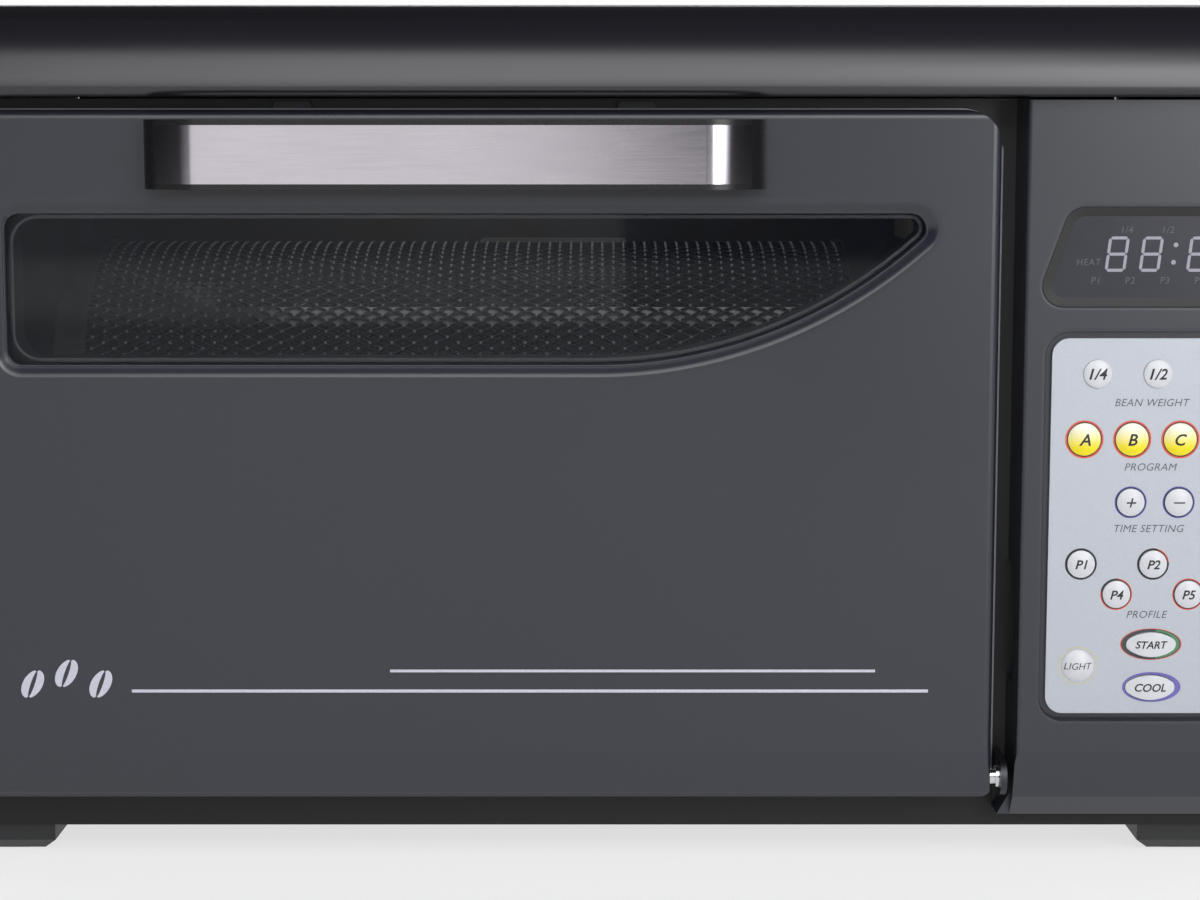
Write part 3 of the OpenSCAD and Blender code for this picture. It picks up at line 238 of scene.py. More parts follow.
def rays(nodes):
    """Two numbers: 1 for camera rays, and 1 for glossy and transmission rays"""
    path = nodes.tree.nodes.new("ShaderNodeLightPath")
    camera_ray, glossy, through = [
        Sock(nodes, path.outputs["Is " + kind + " Ray"]) for kind in ("Camera", "Glossy", "Transmission")
    ]
    return camera_ray, glossy.high(through)


glow = paper.tree.nodes.new("ShaderNodeEmission")
glow.inputs["Color"].default_value = (1, 1, 1, 1)
paler = paper.tree.nodes.new("ShaderNodeMixShader")
looked, mirrored = rays(paper)
paper.link(paler.inputs[0], looked.high(mirrored) * FLOOR_GLOW)
paper.tree.links.new(paper.shader.outputs[0], paler.inputs[1])
paper.tree.links.new(glow.outputs[0], paler.inputs[2])
paper.tree.links.new(paler.outputs[0], paper.tree.nodes["Material Output"].inputs[0])

AIM = (0, -0.15, 0.15)
lamp("key_box", (-0.04, -1.5, 1.22), AIM, 1.2, 1.25, 13)
lamp("right_box", (0.95, -1.7, 0.82), AIM, 1.0, 1.4, 22)
lamp("front_card", (-0.62, -2.6, 0.75), (-0.62, 0, 0.75), 1.3, 1.5, 4.1)
lamp("oven_light", (-0.02, -0.05, 0.233), (-0.02, -0.035, 0.199), 0.2, 0.03, 0.022)
lamp("back_box", (0.2, 1.9, 0.6), AIM, 2.0, 0.5, 8)
lamp("left_box", (-1.8, 0.6, 0.8), AIM, 0.8, 0.8, 6)
lamp("far_box", (1.8, 0.6, 0.8), AIM, 0.8, 0.8, 6)

# The room is dim. The camera sees it as plain white, and glass and metal see a white backdrop
# behind the object that ends a little above the horizon.
room = Nodes(bpy.data.worlds.new("studio"))
scene.world = room.data
sky = room.tree.nodes["Background"]
sky.inputs["Color"].default_value = (0.75, 0.77, 0.8, 1)
sky.inputs["Strength"].default_value = 0.04
white = room.tree.nodes.new("ShaderNodeBackground")
white.inputs["Color"].default_value = (1, 1, 1, 1)
toward = room.split(room.add("ShaderNodeTexCoord"))
standing = toward[1].step(0.2, 0.5) * (1 - toward[2].step(0.1, 0.2))
looked, mirrored = rays(room)
seen = looked.high(mirrored * standing)
either = room.tree.nodes.new("ShaderNodeMixShader")
room.link(either.inputs[0], seen)
room.tree.links.new(sky.outputs[0], either.inputs[1])
room.tree.links.new(white.outputs[0], either.inputs[2])
room.tree.links.new(either.outputs[0], room.tree.nodes["World Output"].inputs[0])


# ---- cabinet ----
# Satin charcoal enamel with a fine grain on the cover, a darker one on the pan, and on the face
# frame one painted near black as painted shade under the hood; plastic feet on rubber pads.
def enamel(name, colour, rough=0.3, grain=0.5 * mm, depth=0.02 * mm):
    """Sprayed paint: fine grain, and a slow drift in tone and gloss"""
    paint = Mat(name, specular_ior_level=0.7)
    fine = paint.noise(grain, detail=1)
    slow = paint.noise(90 * mm, detail=1)
    dark = tuple(c * 0.82 for c in colour)
    light = tuple(c * 1.2 for c in colour)
    paint.set(
        base_color=paint.mix(fine * 0.6 + slow * 0.4, dark, light),
        roughness=slow * 0.08 + (rough - 0.04),
    )
    return paint.bump(fine, depth, 0.5)


def plastic(name, colour, rough=0.45, grain=0.4 * mm, depth=0.01 * mm):
    """Moulded plastic with a fine texture"""
    made = Mat(name, base_color=colour)
    fine = made.noise(grain, detail=1)
    made.set(roughness=fine * 0.12 + (rough - 0.06))
    return made.bump(fine, depth, 0.4)


def steel(name, colour, rough=0.35, stretch=(1, 1, 1), size=1.5 * mm, depth=0.004 * mm):
    """Bare sheet metal with rolling marks drawn out along one axis"""
    metal = Mat(name, metallic=1.0)
    marks = metal.noise(size, detail=4, stretch=stretch, rough=0.65)
    cloud = metal.noise(25 * mm, detail=2)
    dark = tuple(c * 0.72 for c in colour)
    metal.set(
        base_color=metal.mix(marks * 0.55 + cloud * 0.45, dark, colour),
        roughness=marks * 0.16 + cloud * 0.1 + (rough - 0.12),
    )
    return metal.bump(marks, depth, 0.6)


cover_enamel = enamel("cover_enamel", rgb("#1b1b22"))
dress("outer_cover", cover_enamel)
dress("base_pan", enamel("pan_enamel", rgb("#0d0d10"), 0.5).set(specular_ior_level=0.4))
dress("back_panel", enamel("back_enamel", rgb("#303135"), 0.5))
# The face frame is painted near black as painted shade, where the hood overhangs it.
dress("front_frame", enamel("frame_enamel", rgb("#0e0e12"), 0.45))
dress("feet", plastic("foot_plastic", rgb("#1e1f21"), 0.5))
dress("foot_pads", plastic("foot_rubber", rgb("#111111"), 0.85))
dress("door_bumpers", plastic("bumper_silicone", rgb("#5c5d64"), 0.6))
dress("cord_gland", plastic("gland_plastic", rgb("#151515"), 0.4))
dress("cabinet_screws", steel("screw_steel", rgb("#3a3b3f"), 0.45))
hinge_steel = steel("hinge_steel", rgb("#4b4c50"), 0.45)
dress("hinge_ears", hinge_steel)
dress("hinge_pins", steel("pin_steel", rgb("#e4e5e7"), 0.18))


def apply(obj, kind, **settings):
    """Adds a modifier, with its settings, and applies it"""
    pick(obj)
    change = obj.modifiers.new("change", kind)
    for key, value in settings.items():
        setattr(change, key, value)
    bpy.ops.object.modifier_apply(modifier=change.name)
    return obj


def settle(obj, name, material, body, smooth=None):
    """Finishes a piece: its name, place, shading, material and body"""
    pick(obj)
    bpy.ops.object.transform_apply(location=True, rotation=True, scale=True)
    obj.name = name
    obj.data.name = name
    obj.data.materials.clear()
    obj.data.materials.append(material.data)
    if smooth is not None:
        bpy.ops.object.shade_smooth_by_angle(angle=math.radians(smooth))
    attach(obj, body)
    return obj


def join(parts):
    """Joins the objects of a list into its first one"""
    pick(parts[0])
    if len(parts) == 1:
        return parts[0]
    for part in parts[1:]:
        part.select_set(True)
    bpy.ops.object.join()
    return parts[0]


# ---- oven ----
# Aluminised sheet that heat has tinted towards straw and grey, a baffle painted pale as painted
# light, bright reflectors, quartz tubes in white ceramic caps, and the motor and fan behind the panel.
def baked(name, colour, tint, rough=0.4, stretch=(1, 1, 1)):
    """Sheet metal with straw-coloured and grey patches from the heat"""
    metal = Mat(name, metallic=0.9)
    patch = metal.noise(45 * mm, detail=4, rough=0.6)
    marks = metal.noise(1.2 * mm, detail=3, stretch=stretch, rough=0.6)
    stained = metal.mix(patch.step(0.42, 0.62), colour, tint)
    dull = tuple(c * 0.7 for c in colour)
    metal.set(
        base_color=metal.mix(marks * 0.5, stained, dull),
        roughness=patch * 0.2 + marks * 0.1 + (rough - 0.15),
    )
    return metal.bump(marks, 0.005 * mm, 0.5)


straw = rgb("#7d705c")
dress("oven_liner", baked("oven_sheet", rgb("#77787b"), straw, 0.42, (12, 1, 1)))
dress("chaff_tray", baked("tray_sheet", rgb("#97989a"), straw, 0.38, (12, 1, 1)))
# The baffle is painted pale as painted light, so the plate behind the drum shows lit.
dress("exhaust_baffle", baked("baffle_sheet", rgb("#d6d6d0"), rgb("#b8b09c"), 0.5))
dress("drum_cradle", baked("cradle_steel", rgb("#85868a"), straw, 0.4))
dress("heater_reflector", baked("reflector_sheet", rgb("#cdced0"), rgb("#b8a988"), 0.25))
dress("heater_guard", baked("guard_wire", rgb("#b9babd"), rgb("#9a8a70"), 0.3))
dress("exhaust_duct", steel("duct_sheet", rgb("#a8a9ac"), 0.38, (10, 1, 1)))
dress("heater_caps", plastic("cap_ceramic", rgb("#e3dfd5"), 0.7, 0.8 * mm))
quartz = Mat("tube_quartz", roughness=0.12, alpha=0.75)
frost = quartz.noise(6 * mm, stretch=(8, 1, 1))
quartz.set(base_color=quartz.mix(frost, rgb("#cfc9bd"), rgb("#efece4")))
dress("heater_tubes", quartz)
lens = Mat("lamp_lens", roughness=0.3, alpha=0.9)
lens.set(base_color=lens.mix(lens.noise(3 * mm), rgb("#e3d7b0"), rgb("#f6efda")))
dress("oven_lamp", lens)
dress("gear_motor", enamel("motor_case", rgb("#8d8f94"), 0.4, 0.8 * mm))
dress("fan_frame", plastic("fan_case", rgb("#1c1c1e"), 0.4))
dress("fan_rotor", plastic("fan_blades", rgb("#2b2b2e"), 0.35))


# ---- drum ----
# Two families of crimped steel wires, painted dark as painted shade, wound opposite ways round the
# drum and woven over and under, with a knot painted bright as a painted glint at each crossing, and a
# gap where the hatch closes it.
WIRES = 97
CELLS = 37
WIRE_R = 0.42 * mm
CRIMP = 0.34 * mm
# The end plates' rims stand out past the drum's radius, and the weave's middle lies inside it.
RIM_OUT = 1.4 * mm
WEAVE_IN = 0.48 * mm
ends_low, ends_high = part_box("drum_ends")
mesh_low, mesh_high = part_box("drum_mesh")
hatch_low, hatch_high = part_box("drum_hatch")
axis = Vector((0, (ends_low.y + ends_high.y) / 2, (ends_low.z + ends_high.z) / 2))
drum_r = (ends_high.y - ends_low.y) / 2 - RIM_OUT
weave_r = drum_r - WEAVE_IN
cell_l = (mesh_high.x - mesh_low.x) / CELLS
cell_a = 2 * math.pi / WIRES
HATCH_FROM = math.radians(-47)
HATCH_TO = math.radians(-2)
HATCH_LAP = 4 * mm


def turn(angle):
    """Turns what is selected round the drum's axis, from the front towards the top"""
    bpy.ops.transform.rotate(value=angle, orient_axis="X", center_override=axis)


def round_axis(angle, step=0):
    """The move along the drum by step and round its axis by angle, front towards the top"""
    spin = Matrix.Rotation(-angle, 4, "X")
    return Matrix.Translation((step, 0, 0)) @ Matrix.Translation(axis) @ spin @ Matrix.Translation(-axis)


def wind(obj, angle, step, count, merge=False):
    """Repeats obj count times, each copy moved on round the drum; merge joins their ends"""
    guide = bpy.data.objects.new("guide", None)
    scene.collection.objects.link(guide)
    guide.matrix_world = round_axis(angle, step)
    bpy.context.view_layer.update()
    apply(
        obj,
        "ARRAY",
        count=count,
        use_relative_offset=False,
        use_object_offset=True,
        offset_object=guide,
        use_merge_vertices=merge,
        merge_threshold=0.05 * mm,
    )
    bpy.data.objects.remove(guide)


def wire_family(side):
    """All the wires that climb towards +X for side 1, towards -X for side -1"""
    # One cell of one wire is made, then repeated along the drum and round it.
    slope = math.atan2(cell_a * weave_r, cell_l) * side
    bpy.ops.mesh.primitive_circle_add(
        vertices=5,
        radius=WIRE_R,
        location=(mesh_low.x, axis.y - weave_r - side * CRIMP, axis.z),
        rotation=(0, math.pi / 2 - slope, 0),
    )
    wire = bpy.context.object
    bpy.ops.object.mode_set(mode="EDIT")
    bpy.ops.mesh.select_all(action="SELECT")
    # Each half cell is a step along the drum, a turn round it, and a move in or out.
    for half in (1, -1):
        radial = Vector((0, -2 * half * side * CRIMP, 0))
        bpy.ops.mesh.extrude_edges_move(
            TRANSFORM_OT_translate={"value": (cell_l / 2, 0, 0)}
        )
        turn(side * cell_a / 2)
        spin = Matrix.Rotation(-side * cell_a / 2, 3, "X")
        place = spin if half == 1 else spin @ spin
        bpy.ops.transform.translate(value=-(place @ radial))
    bpy.ops.object.mode_set(mode="OBJECT")
    pick(wire)
    bpy.ops.object.transform_apply(location=True, rotation=True, scale=True)
    wind(wire, side * cell_a, cell_l, CELLS, merge=True)
    wind(wire, cell_a, 0, WIRES)
    return wire


def open_hatch(obj):
    """Takes away what lies in the opening that the hatch closes"""
    cut = bmesh.new()
    cut.from_mesh(obj.data)
    gone = []
    for vert in cut.verts:
        around = math.atan2(vert.co.z - axis.z, axis.y - vert.co.y)
        along = hatch_low.x + HATCH_LAP < vert.co.x < hatch_high.x - HATCH_LAP
        if along and HATCH_FROM < around < HATCH_TO:
            gone.append(vert)
    bmesh.ops.delete(cut, geom=gone, context="VERTS")
    cut.to_mesh(obj.data)
    cut.free()


weave = join([wire_family(1), wire_family(-1)])
open_hatch(weave)
# The wires' steel is painted dark as painted shade, so the weave stays dim behind its bright knots.
wire_steel = steel("wire_steel", rgb("#4d4e52"), 0.45)
settle(weave, "drum_weave", wire_steel, "drum", 80)
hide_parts("drum_mesh")

# Where two wires cross they are pressed together into a knot, whose colour is painted bright as a
# painted glint.
KNOT_R = 0.66 * mm
KNOT_OUT = 0.32 * mm
bpy.ops.mesh.primitive_ico_sphere_add(
    subdivisions=1, radius=KNOT_R, location=(mesh_low.x, axis.y - weave_r - KNOT_OUT, axis.z)
)
knot = bpy.context.object
pick(knot)
bpy.ops.object.transform_apply(location=True, rotation=True, scale=True)
rows = []
for shift in (0, 0.5):
    row = knot.copy()
    row.data = knot.data.copy()
    scene.collection.objects.link(row)
    wind(row, 0, cell_l, CELLS)
    wind(row, cell_a, 0, WIRES)
    row.data.transform(round_axis(shift * cell_a, shift * cell_l))
    rows.append(row)
bpy.data.objects.remove(knot)
knots = join(rows)
open_hatch(knots)
knot_steel = Mat("knot_steel", metallic=0.6, roughness=0.4)
knot_steel.set(base_color=knot_steel.mix(knot_steel.noise(30 * mm), rgb("#d5d6d8"), rgb("#f0f0f2")))
settle(knots, "drum_knots", knot_steel, "drum", 80)

dress("drum_ends", baked("drum_plate", rgb("#a3a4a7"), straw, 0.34))
dress("drum_vanes", steel("vane_steel", rgb("#c9cacc"), 0.3, (8, 1, 1)))
dress("drum_hatch", steel("hatch_steel", rgb("#c4c5c8"), 0.32, (8, 1, 1)))
dress("hatch_pin", hinge_steel)
dress("hatch_latch", steel("latch_steel", rgb("#d9dadc"), 0.25))
dress("drive_coupler", steel("coupler_steel", rgb("#b7b8ba"), 0.35))


# ---- hood ----
# The cover once more, with its lower front edge rolled under; the sheet follows it inside.
HEM_R = 2.9 * mm
HEM_Z = 250.5 * mm
COVER_T = 1.2 * mm
NEAR = 0.1 * mm
nose_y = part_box("outer_cover")[0].y
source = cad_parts["outer_cover"]
hood = bpy.data.objects.new("hood", source.data.copy())
scene.collection.objects.link(hood)
hood.data.transform(source.matrix_world)
fold = bmesh.new()
fold.from_mesh(hood.data)
bmesh.ops.remove_doubles(fold, verts=fold.verts, dist=0.01 * mm)
bmesh.ops.dissolve_limit(fold, angle_limit=math.radians(0.5), verts=fold.verts, edges=fold.edges)
for inward in (0, COVER_T):
    lip = []
    for edge in fold.edges:
        offsets = [(v.co.y - nose_y - inward, v.co.z - HEM_Z - inward) for v in edge.verts]
        if all(abs(off) < NEAR for pair in offsets for off in pair):
            lip.append(edge)
    bmesh.ops.bevel(
        fold, geom=lip, offset=HEM_R - inward, segments=6, profile=0.5, affect="EDGES"
    )
fold.to_mesh(hood.data)
fold.free()
settle(hood, "hood_cover", cover_enamel, "cabinet", 35)
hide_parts("outer_cover")


# ---- door ----
# The same enamel, a rolled window border with a thin bead down its left and lower sides, dark
# glass, and a black handle with a brushed strip painted darker round both bends as painted shade.
glass_low, glass_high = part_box("door_glass")
face_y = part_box("door_skin")[0].y
# How far a thin surface stands off the one it lies on
LIFT = 0.02 * mm
# How far the glass reaches behind the door, past the window
LAP_LEFT = 8 * mm
LAP_RIGHT = 6 * mm
LAP_HIGH = 7 * mm
window = (
    glass_low.x + LAP_LEFT,
    glass_high.x - LAP_RIGHT,
    glass_low.z + LAP_HIGH,
    glass_high.z - LAP_HIGH,
)
CORNER_R = 5 * mm
SWEEP_R = 154 * mm
TIP_R = 5 * mm
CORNER_STEPS = 12
SWEEP_STEPS = 40
TIP_STEPS = 16


def arc(centre, radius, start, end, steps):
    """Points on an arc, in x and z, angles in degrees from +X towards +Z"""
    turns = [math.radians(start + (end - start) * i / steps) for i in range(steps + 1)]
    return [(centre[0] + radius * math.cos(a), centre[1] + radius * math.sin(a)) for a in turns]


def window_line(grow):
    """The window's outline, grown on all sides, anticlockwise from the front"""
    x0, x1, z0, z1 = window
    tip = (x1 - TIP_R, z1 - TIP_R)
    sweep_z = z0 + SWEEP_R
    sweep_x = tip[0] - math.sqrt((SWEEP_R - TIP_R) ** 2 - (sweep_z - tip[1]) ** 2)
    lean = math.degrees(math.atan2(tip[1] - sweep_z, tip[0] - sweep_x))
    corner = CORNER_R + grow
    return (
        arc((x0 + CORNER_R, z1 - CORNER_R), corner, 90, 180, CORNER_STEPS)
        + arc((x0 + CORNER_R, z0 + CORNER_R), corner, 180, 270, CORNER_STEPS)
        + arc((sweep_x, sweep_z), SWEEP_R + grow, -90, lean, SWEEP_STEPS)
        + arc(tip, TIP_R + grow, lean, 90, TIP_STEPS)[1:]
    )


def sheet(points, y, fill=True):
    """A flat face, or only an open line, through points of x and z, facing the front"""
    mesh = bpy.data.meshes.new("sheet")
    edges = [] if fill else [(i, i + 1) for i in range(len(points) - 1)]
    faces = [range(len(points))] if fill else []
    mesh.from_pydata([(x, y, z) for x, z in points], edges, faces)
    obj = bpy.data.objects.new("sheet", mesh)
    scene.collection.objects.link(obj)
    return pick(obj)


def rolled(points, y, profile):
    """A rolled border: a face inset again and again by (width, depth), open in the middle"""
    obj = sheet(points, y)
    bpy.ops.object.mode_set(mode="EDIT")
    bpy.ops.mesh.select_all(action="SELECT")
    for width, depth in profile:
        bpy.ops.mesh.inset(thickness=width, depth=-depth)
    bpy.ops.mesh.delete(type="FACE")
    bpy.ops.object.mode_set(mode="OBJECT")
    return obj


def bead(points, y, radius):
    """A thin round bead along an open line"""
    obj = sheet(points, y, fill=False)
    bpy.ops.object.convert(target="CURVE")
    obj.data.bevel_depth = radius
    obj.data.bevel_resolution = 2
    bpy.ops.object.convert(target="MESH")
    return obj


door_enamel = enamel("door_enamel", rgb("#22242e"))
dress("door_skin", door_enamel)
BORDER = (
    (1.5 * mm, 0),
    (0.5 * mm, 0.08 * mm),
    (0.6 * mm, 0.24 * mm),
    (0.7 * mm, 0.5 * mm),
    (0.8 * mm, 0.65 * mm),
    (0.8 * mm, 0.6 * mm),
    (0.5 * mm, 0.25 * mm),
    (0.3 * mm, 0.15 * mm),
    (0.15 * mm, 0.35 * mm),
    (0.02 * mm, 0.7 * mm),
)
BORDER_OUT = 5.4 * mm
border = rolled(window_line(BORDER_OUT), face_y - LIFT, BORDER)
settle(border, "window_border", door_enamel, "door", 50)
# The bead runs from the middle of the upper left corner to the middle of the tip.
BEAD_R = 0.3 * mm
BEAD_OUT = 0.15 * mm
BEAD_DEEP = 2.15 * mm
first = CORNER_STEPS // 2
last = 2 * (CORNER_STEPS + 1) + SWEEP_STEPS + TIP_STEPS // 2
line = bead(window_line(BEAD_OUT)[first:last], face_y + BEAD_DEEP, BEAD_R)
settle(line, "window_bead", enamel("bead_enamel", rgb("#2c2c38"), 0.22), "door", 60)

glass = Mat("dark_glass", base_color=rgb("#13171f"), roughness=0.04, alpha=0.32)
dress("door_glass", glass)
dress("door_liner", steel("liner_steel", rgb("#8f9095"), 0.34, (10, 1, 1)))
dress("door_springs", steel("spring_steel", rgb("#b0b1b5"), 0.3))
dress("door_screws", steel("door_screw_steel", rgb("#8a8b8f"), 0.35))
dress("handle_core", plastic("handle_plastic", rgb("#141416"), 0.28))

brushed = Mat("brushed_strip", metallic=1.0)
hair = brushed.noise(0.35 * mm, detail=3, stretch=(60, 1, 1), rough=0.7)
cloud = brushed.noise(9 * mm, detail=3, stretch=(4, 1, 1))
# The strip is bright along its flat, and its colour is painted darker round its two bends as painted
# shade.
BEND_LEFT = 8 * mm
BEND_RIGHT = 7.5 * mm
FADE = 3 * mm
strip_low, strip_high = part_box("handle_strip")
flat_from = strip_low.x + BEND_LEFT
flat_to = strip_high.x - BEND_RIGHT
along = brushed.axes()[0]
bend_shade = (1 - along.step(flat_from, flat_from + FADE)).high(along.step(flat_to - FADE, flat_to))
plain = brushed.mix(hair * 0.5 + cloud * 0.5, rgb("#cdc7cf"), rgb("#ebe5ed"))
brushed.set(
    base_color=brushed.mix(bend_shade, plain, rgb("#6b696e")),
    roughness=hair * 0.08 + 0.13,
)
brushed.bump(hair, 0.004 * mm, 0.6)
dress("handle_strip", brushed)


# ---- printed lines on the door ----
# Two fine silver lines and three plain beans, printed flat on the door's face.
def printed(outer, inner, y):
    """The flat band between two lines with as many points each, open or closed"""
    closed = outer[0] == outer[-1]
    if closed:
        outer, inner = outer[:-1], inner[:-1]
    count = len(outer)
    edges = [(i, i + 1) for i in range(count - 1)] + ([(count - 1, 0)] if closed else [])
    mesh = bpy.data.meshes.new("print")
    mesh.from_pydata(
        [(x, y, z) for x, z in outer + inner],
        edges + [(a + count, b + count) for a, b in edges],
        [],
    )
    obj = bpy.data.objects.new("print", mesh)
    scene.collection.objects.link(obj)
    pick(obj)
    bpy.ops.object.mode_set(mode="EDIT")
    bpy.ops.mesh.select_all(action="SELECT")
    bpy.ops.mesh.bridge_edge_loops()
    bpy.ops.mesh.normals_make_consistent(inside=False)
    bpy.ops.object.mode_set(mode="OBJECT")
    if obj.data.polygons[0].normal.y > 0:
        obj.data.flip_normals()
    return obj


def bar(x0, x1, z, thick, y):
    """A straight printed line"""
    low, high = z - thick / 2, z + thick / 2
    return printed([(x0, low), (x1, low)], [(x0, high), (x1, high)], y)


def ellipse(centre, wide, high, start=0, end=360, steps=40, lean=0.0):
    """Points on an ellipse, leaning to the right by lean"""
    flat = arc((0, 0), 1, start, end, steps)
    return [(centre[0] + x * wide + z * high * lean, centre[1] + z * high) for x, z in flat]


# Each line: from x, to x, at z and its thickness, in mm; each bean: its middle's x and z
LINES = ((-150, 107.3, 60.2, 1.0), (-66.5, 90.1, 66.8, 0.9))
BEANS = ((-182, 62.5), (-171, 66), (-160, 62.5))
BEAN_SIZE = (3.4 * mm, 4.6 * mm)
CREASE_SIZE = (0.7 * mm, 4.2 * mm)
BEAN_LEAN = 0.35
HALF_SPAN = 78
# How far printed ink stands off its face
INK_OUT = 0.03 * mm
PRINT_Y = face_y - INK_OUT
marks = [bar(x0 * mm, x1 * mm, z * mm, thick * mm, PRINT_Y) for x0, x1, z, thick in LINES]
for x, z in BEANS:
    bean = (x * mm, z * mm)
    for side in (0, 180):
        span = (side - HALF_SPAN, side + HALF_SPAN, 16, BEAN_LEAN)
        outer = ellipse(bean, *BEAN_SIZE, *span)
        inner = ellipse(bean, *CREASE_SIZE, *span)
        marks.append(printed(outer, inner, PRINT_Y))
silver_print = Mat("silver_print", roughness=0.45)
silver_print.set(
    base_color=silver_print.mix(silver_print.noise(0.6 * mm), rgb("#b9bac8"), rgb("#d4d5e2"))
)
settle(join(marks), "door_print", silver_print, "door")


# ---- key panel ----
# Enamel with rolled edges round the display and the key plate; a silver film plate with
# coloured rings and captions; domed keys whose letters move with them; a dark lens with
# light digits.
lens_low, lens_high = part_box("display_lens")
plate_low, plate_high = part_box("key_plate")
panel_cx = (plate_low.x + plate_high.x) / 2


def round_line(corners, radius, steps=8):
    """An outline with round corners through the centres of its corner circles, anticlockwise"""
    points = []
    for i, here in enumerate(corners):
        before = corners[i - 1]
        after = corners[(i + 1) % len(corners)]
        start = math.degrees(math.atan2(here[1] - before[1], here[0] - before[0])) - 90
        end = math.degrees(math.atan2(after[1] - here[1], after[0] - here[0])) - 90
        points += arc(here, radius, start, end + 360 if end < start else end, steps)
    return points


LENS_RIM = 3.4 * mm
LENS_CUT = 2.4 * mm
LENS_R = 3.5 * mm
LENS_LEAN = 6.5 * mm
PLATE_R = 5.5 * mm
PLATE_RIM = 2.5 * mm


def lens_line(grow):
    """The display's outline, grown on all sides"""
    half = (lens_high.x - lens_low.x) / 2 - LENS_CUT - LENS_R
    low = lens_low.z + LENS_CUT + LENS_R
    high = lens_high.z - LENS_CUT - LENS_R
    corners = [(-half, low), (half, low), (half - LENS_LEAN, high), (LENS_LEAN - half, high)]
    return round_line([(panel_cx + x, z) for x, z in corners], LENS_R + grow)


def plate_line(grow):
    """The key plate's outline, grown on all sides"""
    x0, x1 = plate_low.x + PLATE_R, plate_high.x - PLATE_R
    z0, z1 = plate_low.z + PLATE_R, plate_high.z - PLATE_R
    return round_line([(x0, z0), (x1, z0), (x1, z1), (x0, z1)], PLATE_R + grow)


panel_enamel = enamel("panel_enamel", rgb("#22242e"))
dress("control_panel", panel_enamel)
ROLL = (
    (0.7 * mm, 0),
    (0.25 * mm, 0.05 * mm),
    (0.3 * mm, 0.16 * mm),
    (0.2 * mm, 0.3 * mm),
    (0.06 * mm, 0.5 * mm),
)
ROLL_OUT = 1.1 * mm
rolls = [
    rolled(lens_line(LENS_RIM + ROLL_OUT), face_y - LIFT, ROLL),
    rolled(plate_line(PLATE_RIM + ROLL_OUT), face_y - LIFT, ROLL),
]
settle(join(rolls), "panel_rolls", panel_enamel, "cabinet", 50)
DISPLAY_BORDER = ((0.3 * mm, 0.03 * mm), (2.4 * mm, 0.3 * mm), (0.2 * mm, 0.03 * mm))
DISPLAY_OUT = 3.1 * mm
DISPLAY_DEEP = 0.3 * mm
frame_ring = rolled(lens_line(DISPLAY_OUT), face_y + DISPLAY_DEEP, DISPLAY_BORDER)
border_plastic = plastic("border_plastic", rgb("#0b0c0f"), 0.5)
settle(frame_ring, "display_border", border_plastic, "cabinet", 50)

lens_plastic = Mat("lens_plastic", roughness=0.22)
lens_plastic.set(
    base_color=lens_plastic.mix(lens_plastic.noise(8 * mm), rgb("#262730"), rgb("#2e2f39"))
)
dress("display_lens", lens_plastic)
dress("control_board", plastic("board_green", rgb("#2f6b46"), 0.5))
film = Mat("key_plate_film", metallic=0.25, roughness=0.4)
film_grain = film.noise(0.5 * mm, detail=1)
film.set(base_color=film.mix(film_grain, rgb("#b0b5be"), rgb("#bcc1ca")))
dress("key_plate", film)

silver_cap = Mat("silver_cap", roughness=0.28)
silver_cap.set(
    base_color=silver_cap.mix(silver_cap.noise(0.4 * mm), rgb("#c9cbd1"), rgb("#d8dadf"))
)
row_low, row_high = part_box("key_a")
# The yellow caps are painted whiter towards their tops, as a painted highlight.
yellow_cap = Mat("yellow_cap", roughness=0.3)
height = yellow_cap.axes()[2].step(row_low.z + 3 * mm, row_high.z - 1.2 * mm)
yellow_cap.set(base_color=yellow_cap.mix(height, rgb("#f5e31a"), rgb("#f1efe0")))

# key: its letters, their height in mm, and whether they are bold
KEYS = {
    "quarter": ("1/4", 3.6, True),
    "half": ("1/2", 3.6, True),
    "full": ("1", 3.6, True),
    "a": ("A", 3.8, True),
    "b": ("B", 3.8, True),
    "c": ("C", 3.8, True),
    "d": ("D", 3.8, True),
    "plus": ("+", 3.0, False),
    "minus": ("\u2013", 0.45, False),
    "p1": ("P1", 3.0, True),
    "p2": ("P2", 3.0, True),
    "p3": ("P3", 3.0, True),
    "p4": ("P4", 3.0, True),
    "p5": ("P5", 3.0, True),
    "start": ("START", 2.5, True),
    "cool": ("COOL", 2.7, True),
    "light": ("LIGHT", 2.2, False),
    "off": ("OFF", 2.4, False),
}


def words(text, x, y, z, high, bold=0.0, slant=0.25, spread=1.0):
    """Flat letters facing the front, high mm tall, centred on x and z"""
    bpy.ops.object.text_add(rotation=(math.pi / 2, 0, 0))
    obj = bpy.context.object
    obj.data.body = text
    obj.data.size = 1.0
    obj.data.shear = slant
    obj.data.offset = bold
    obj.data.space_character = spread
    obj.data.resolution_u = 3
    pick(obj)
    bpy.ops.object.convert(target="MESH")
    bpy.ops.object.origin_set(type="ORIGIN_GEOMETRY", center="BOUNDS")
    scale = high * mm / obj.dimensions.y
    obj.scale = (scale, scale, scale)
    obj.location = (x, y, z)
    return obj


ink = Mat("black_ink", roughness=0.5)
ink.set(base_color=ink.mix(ink.noise(0.5 * mm), rgb("#141416"), rgb("#242428")))
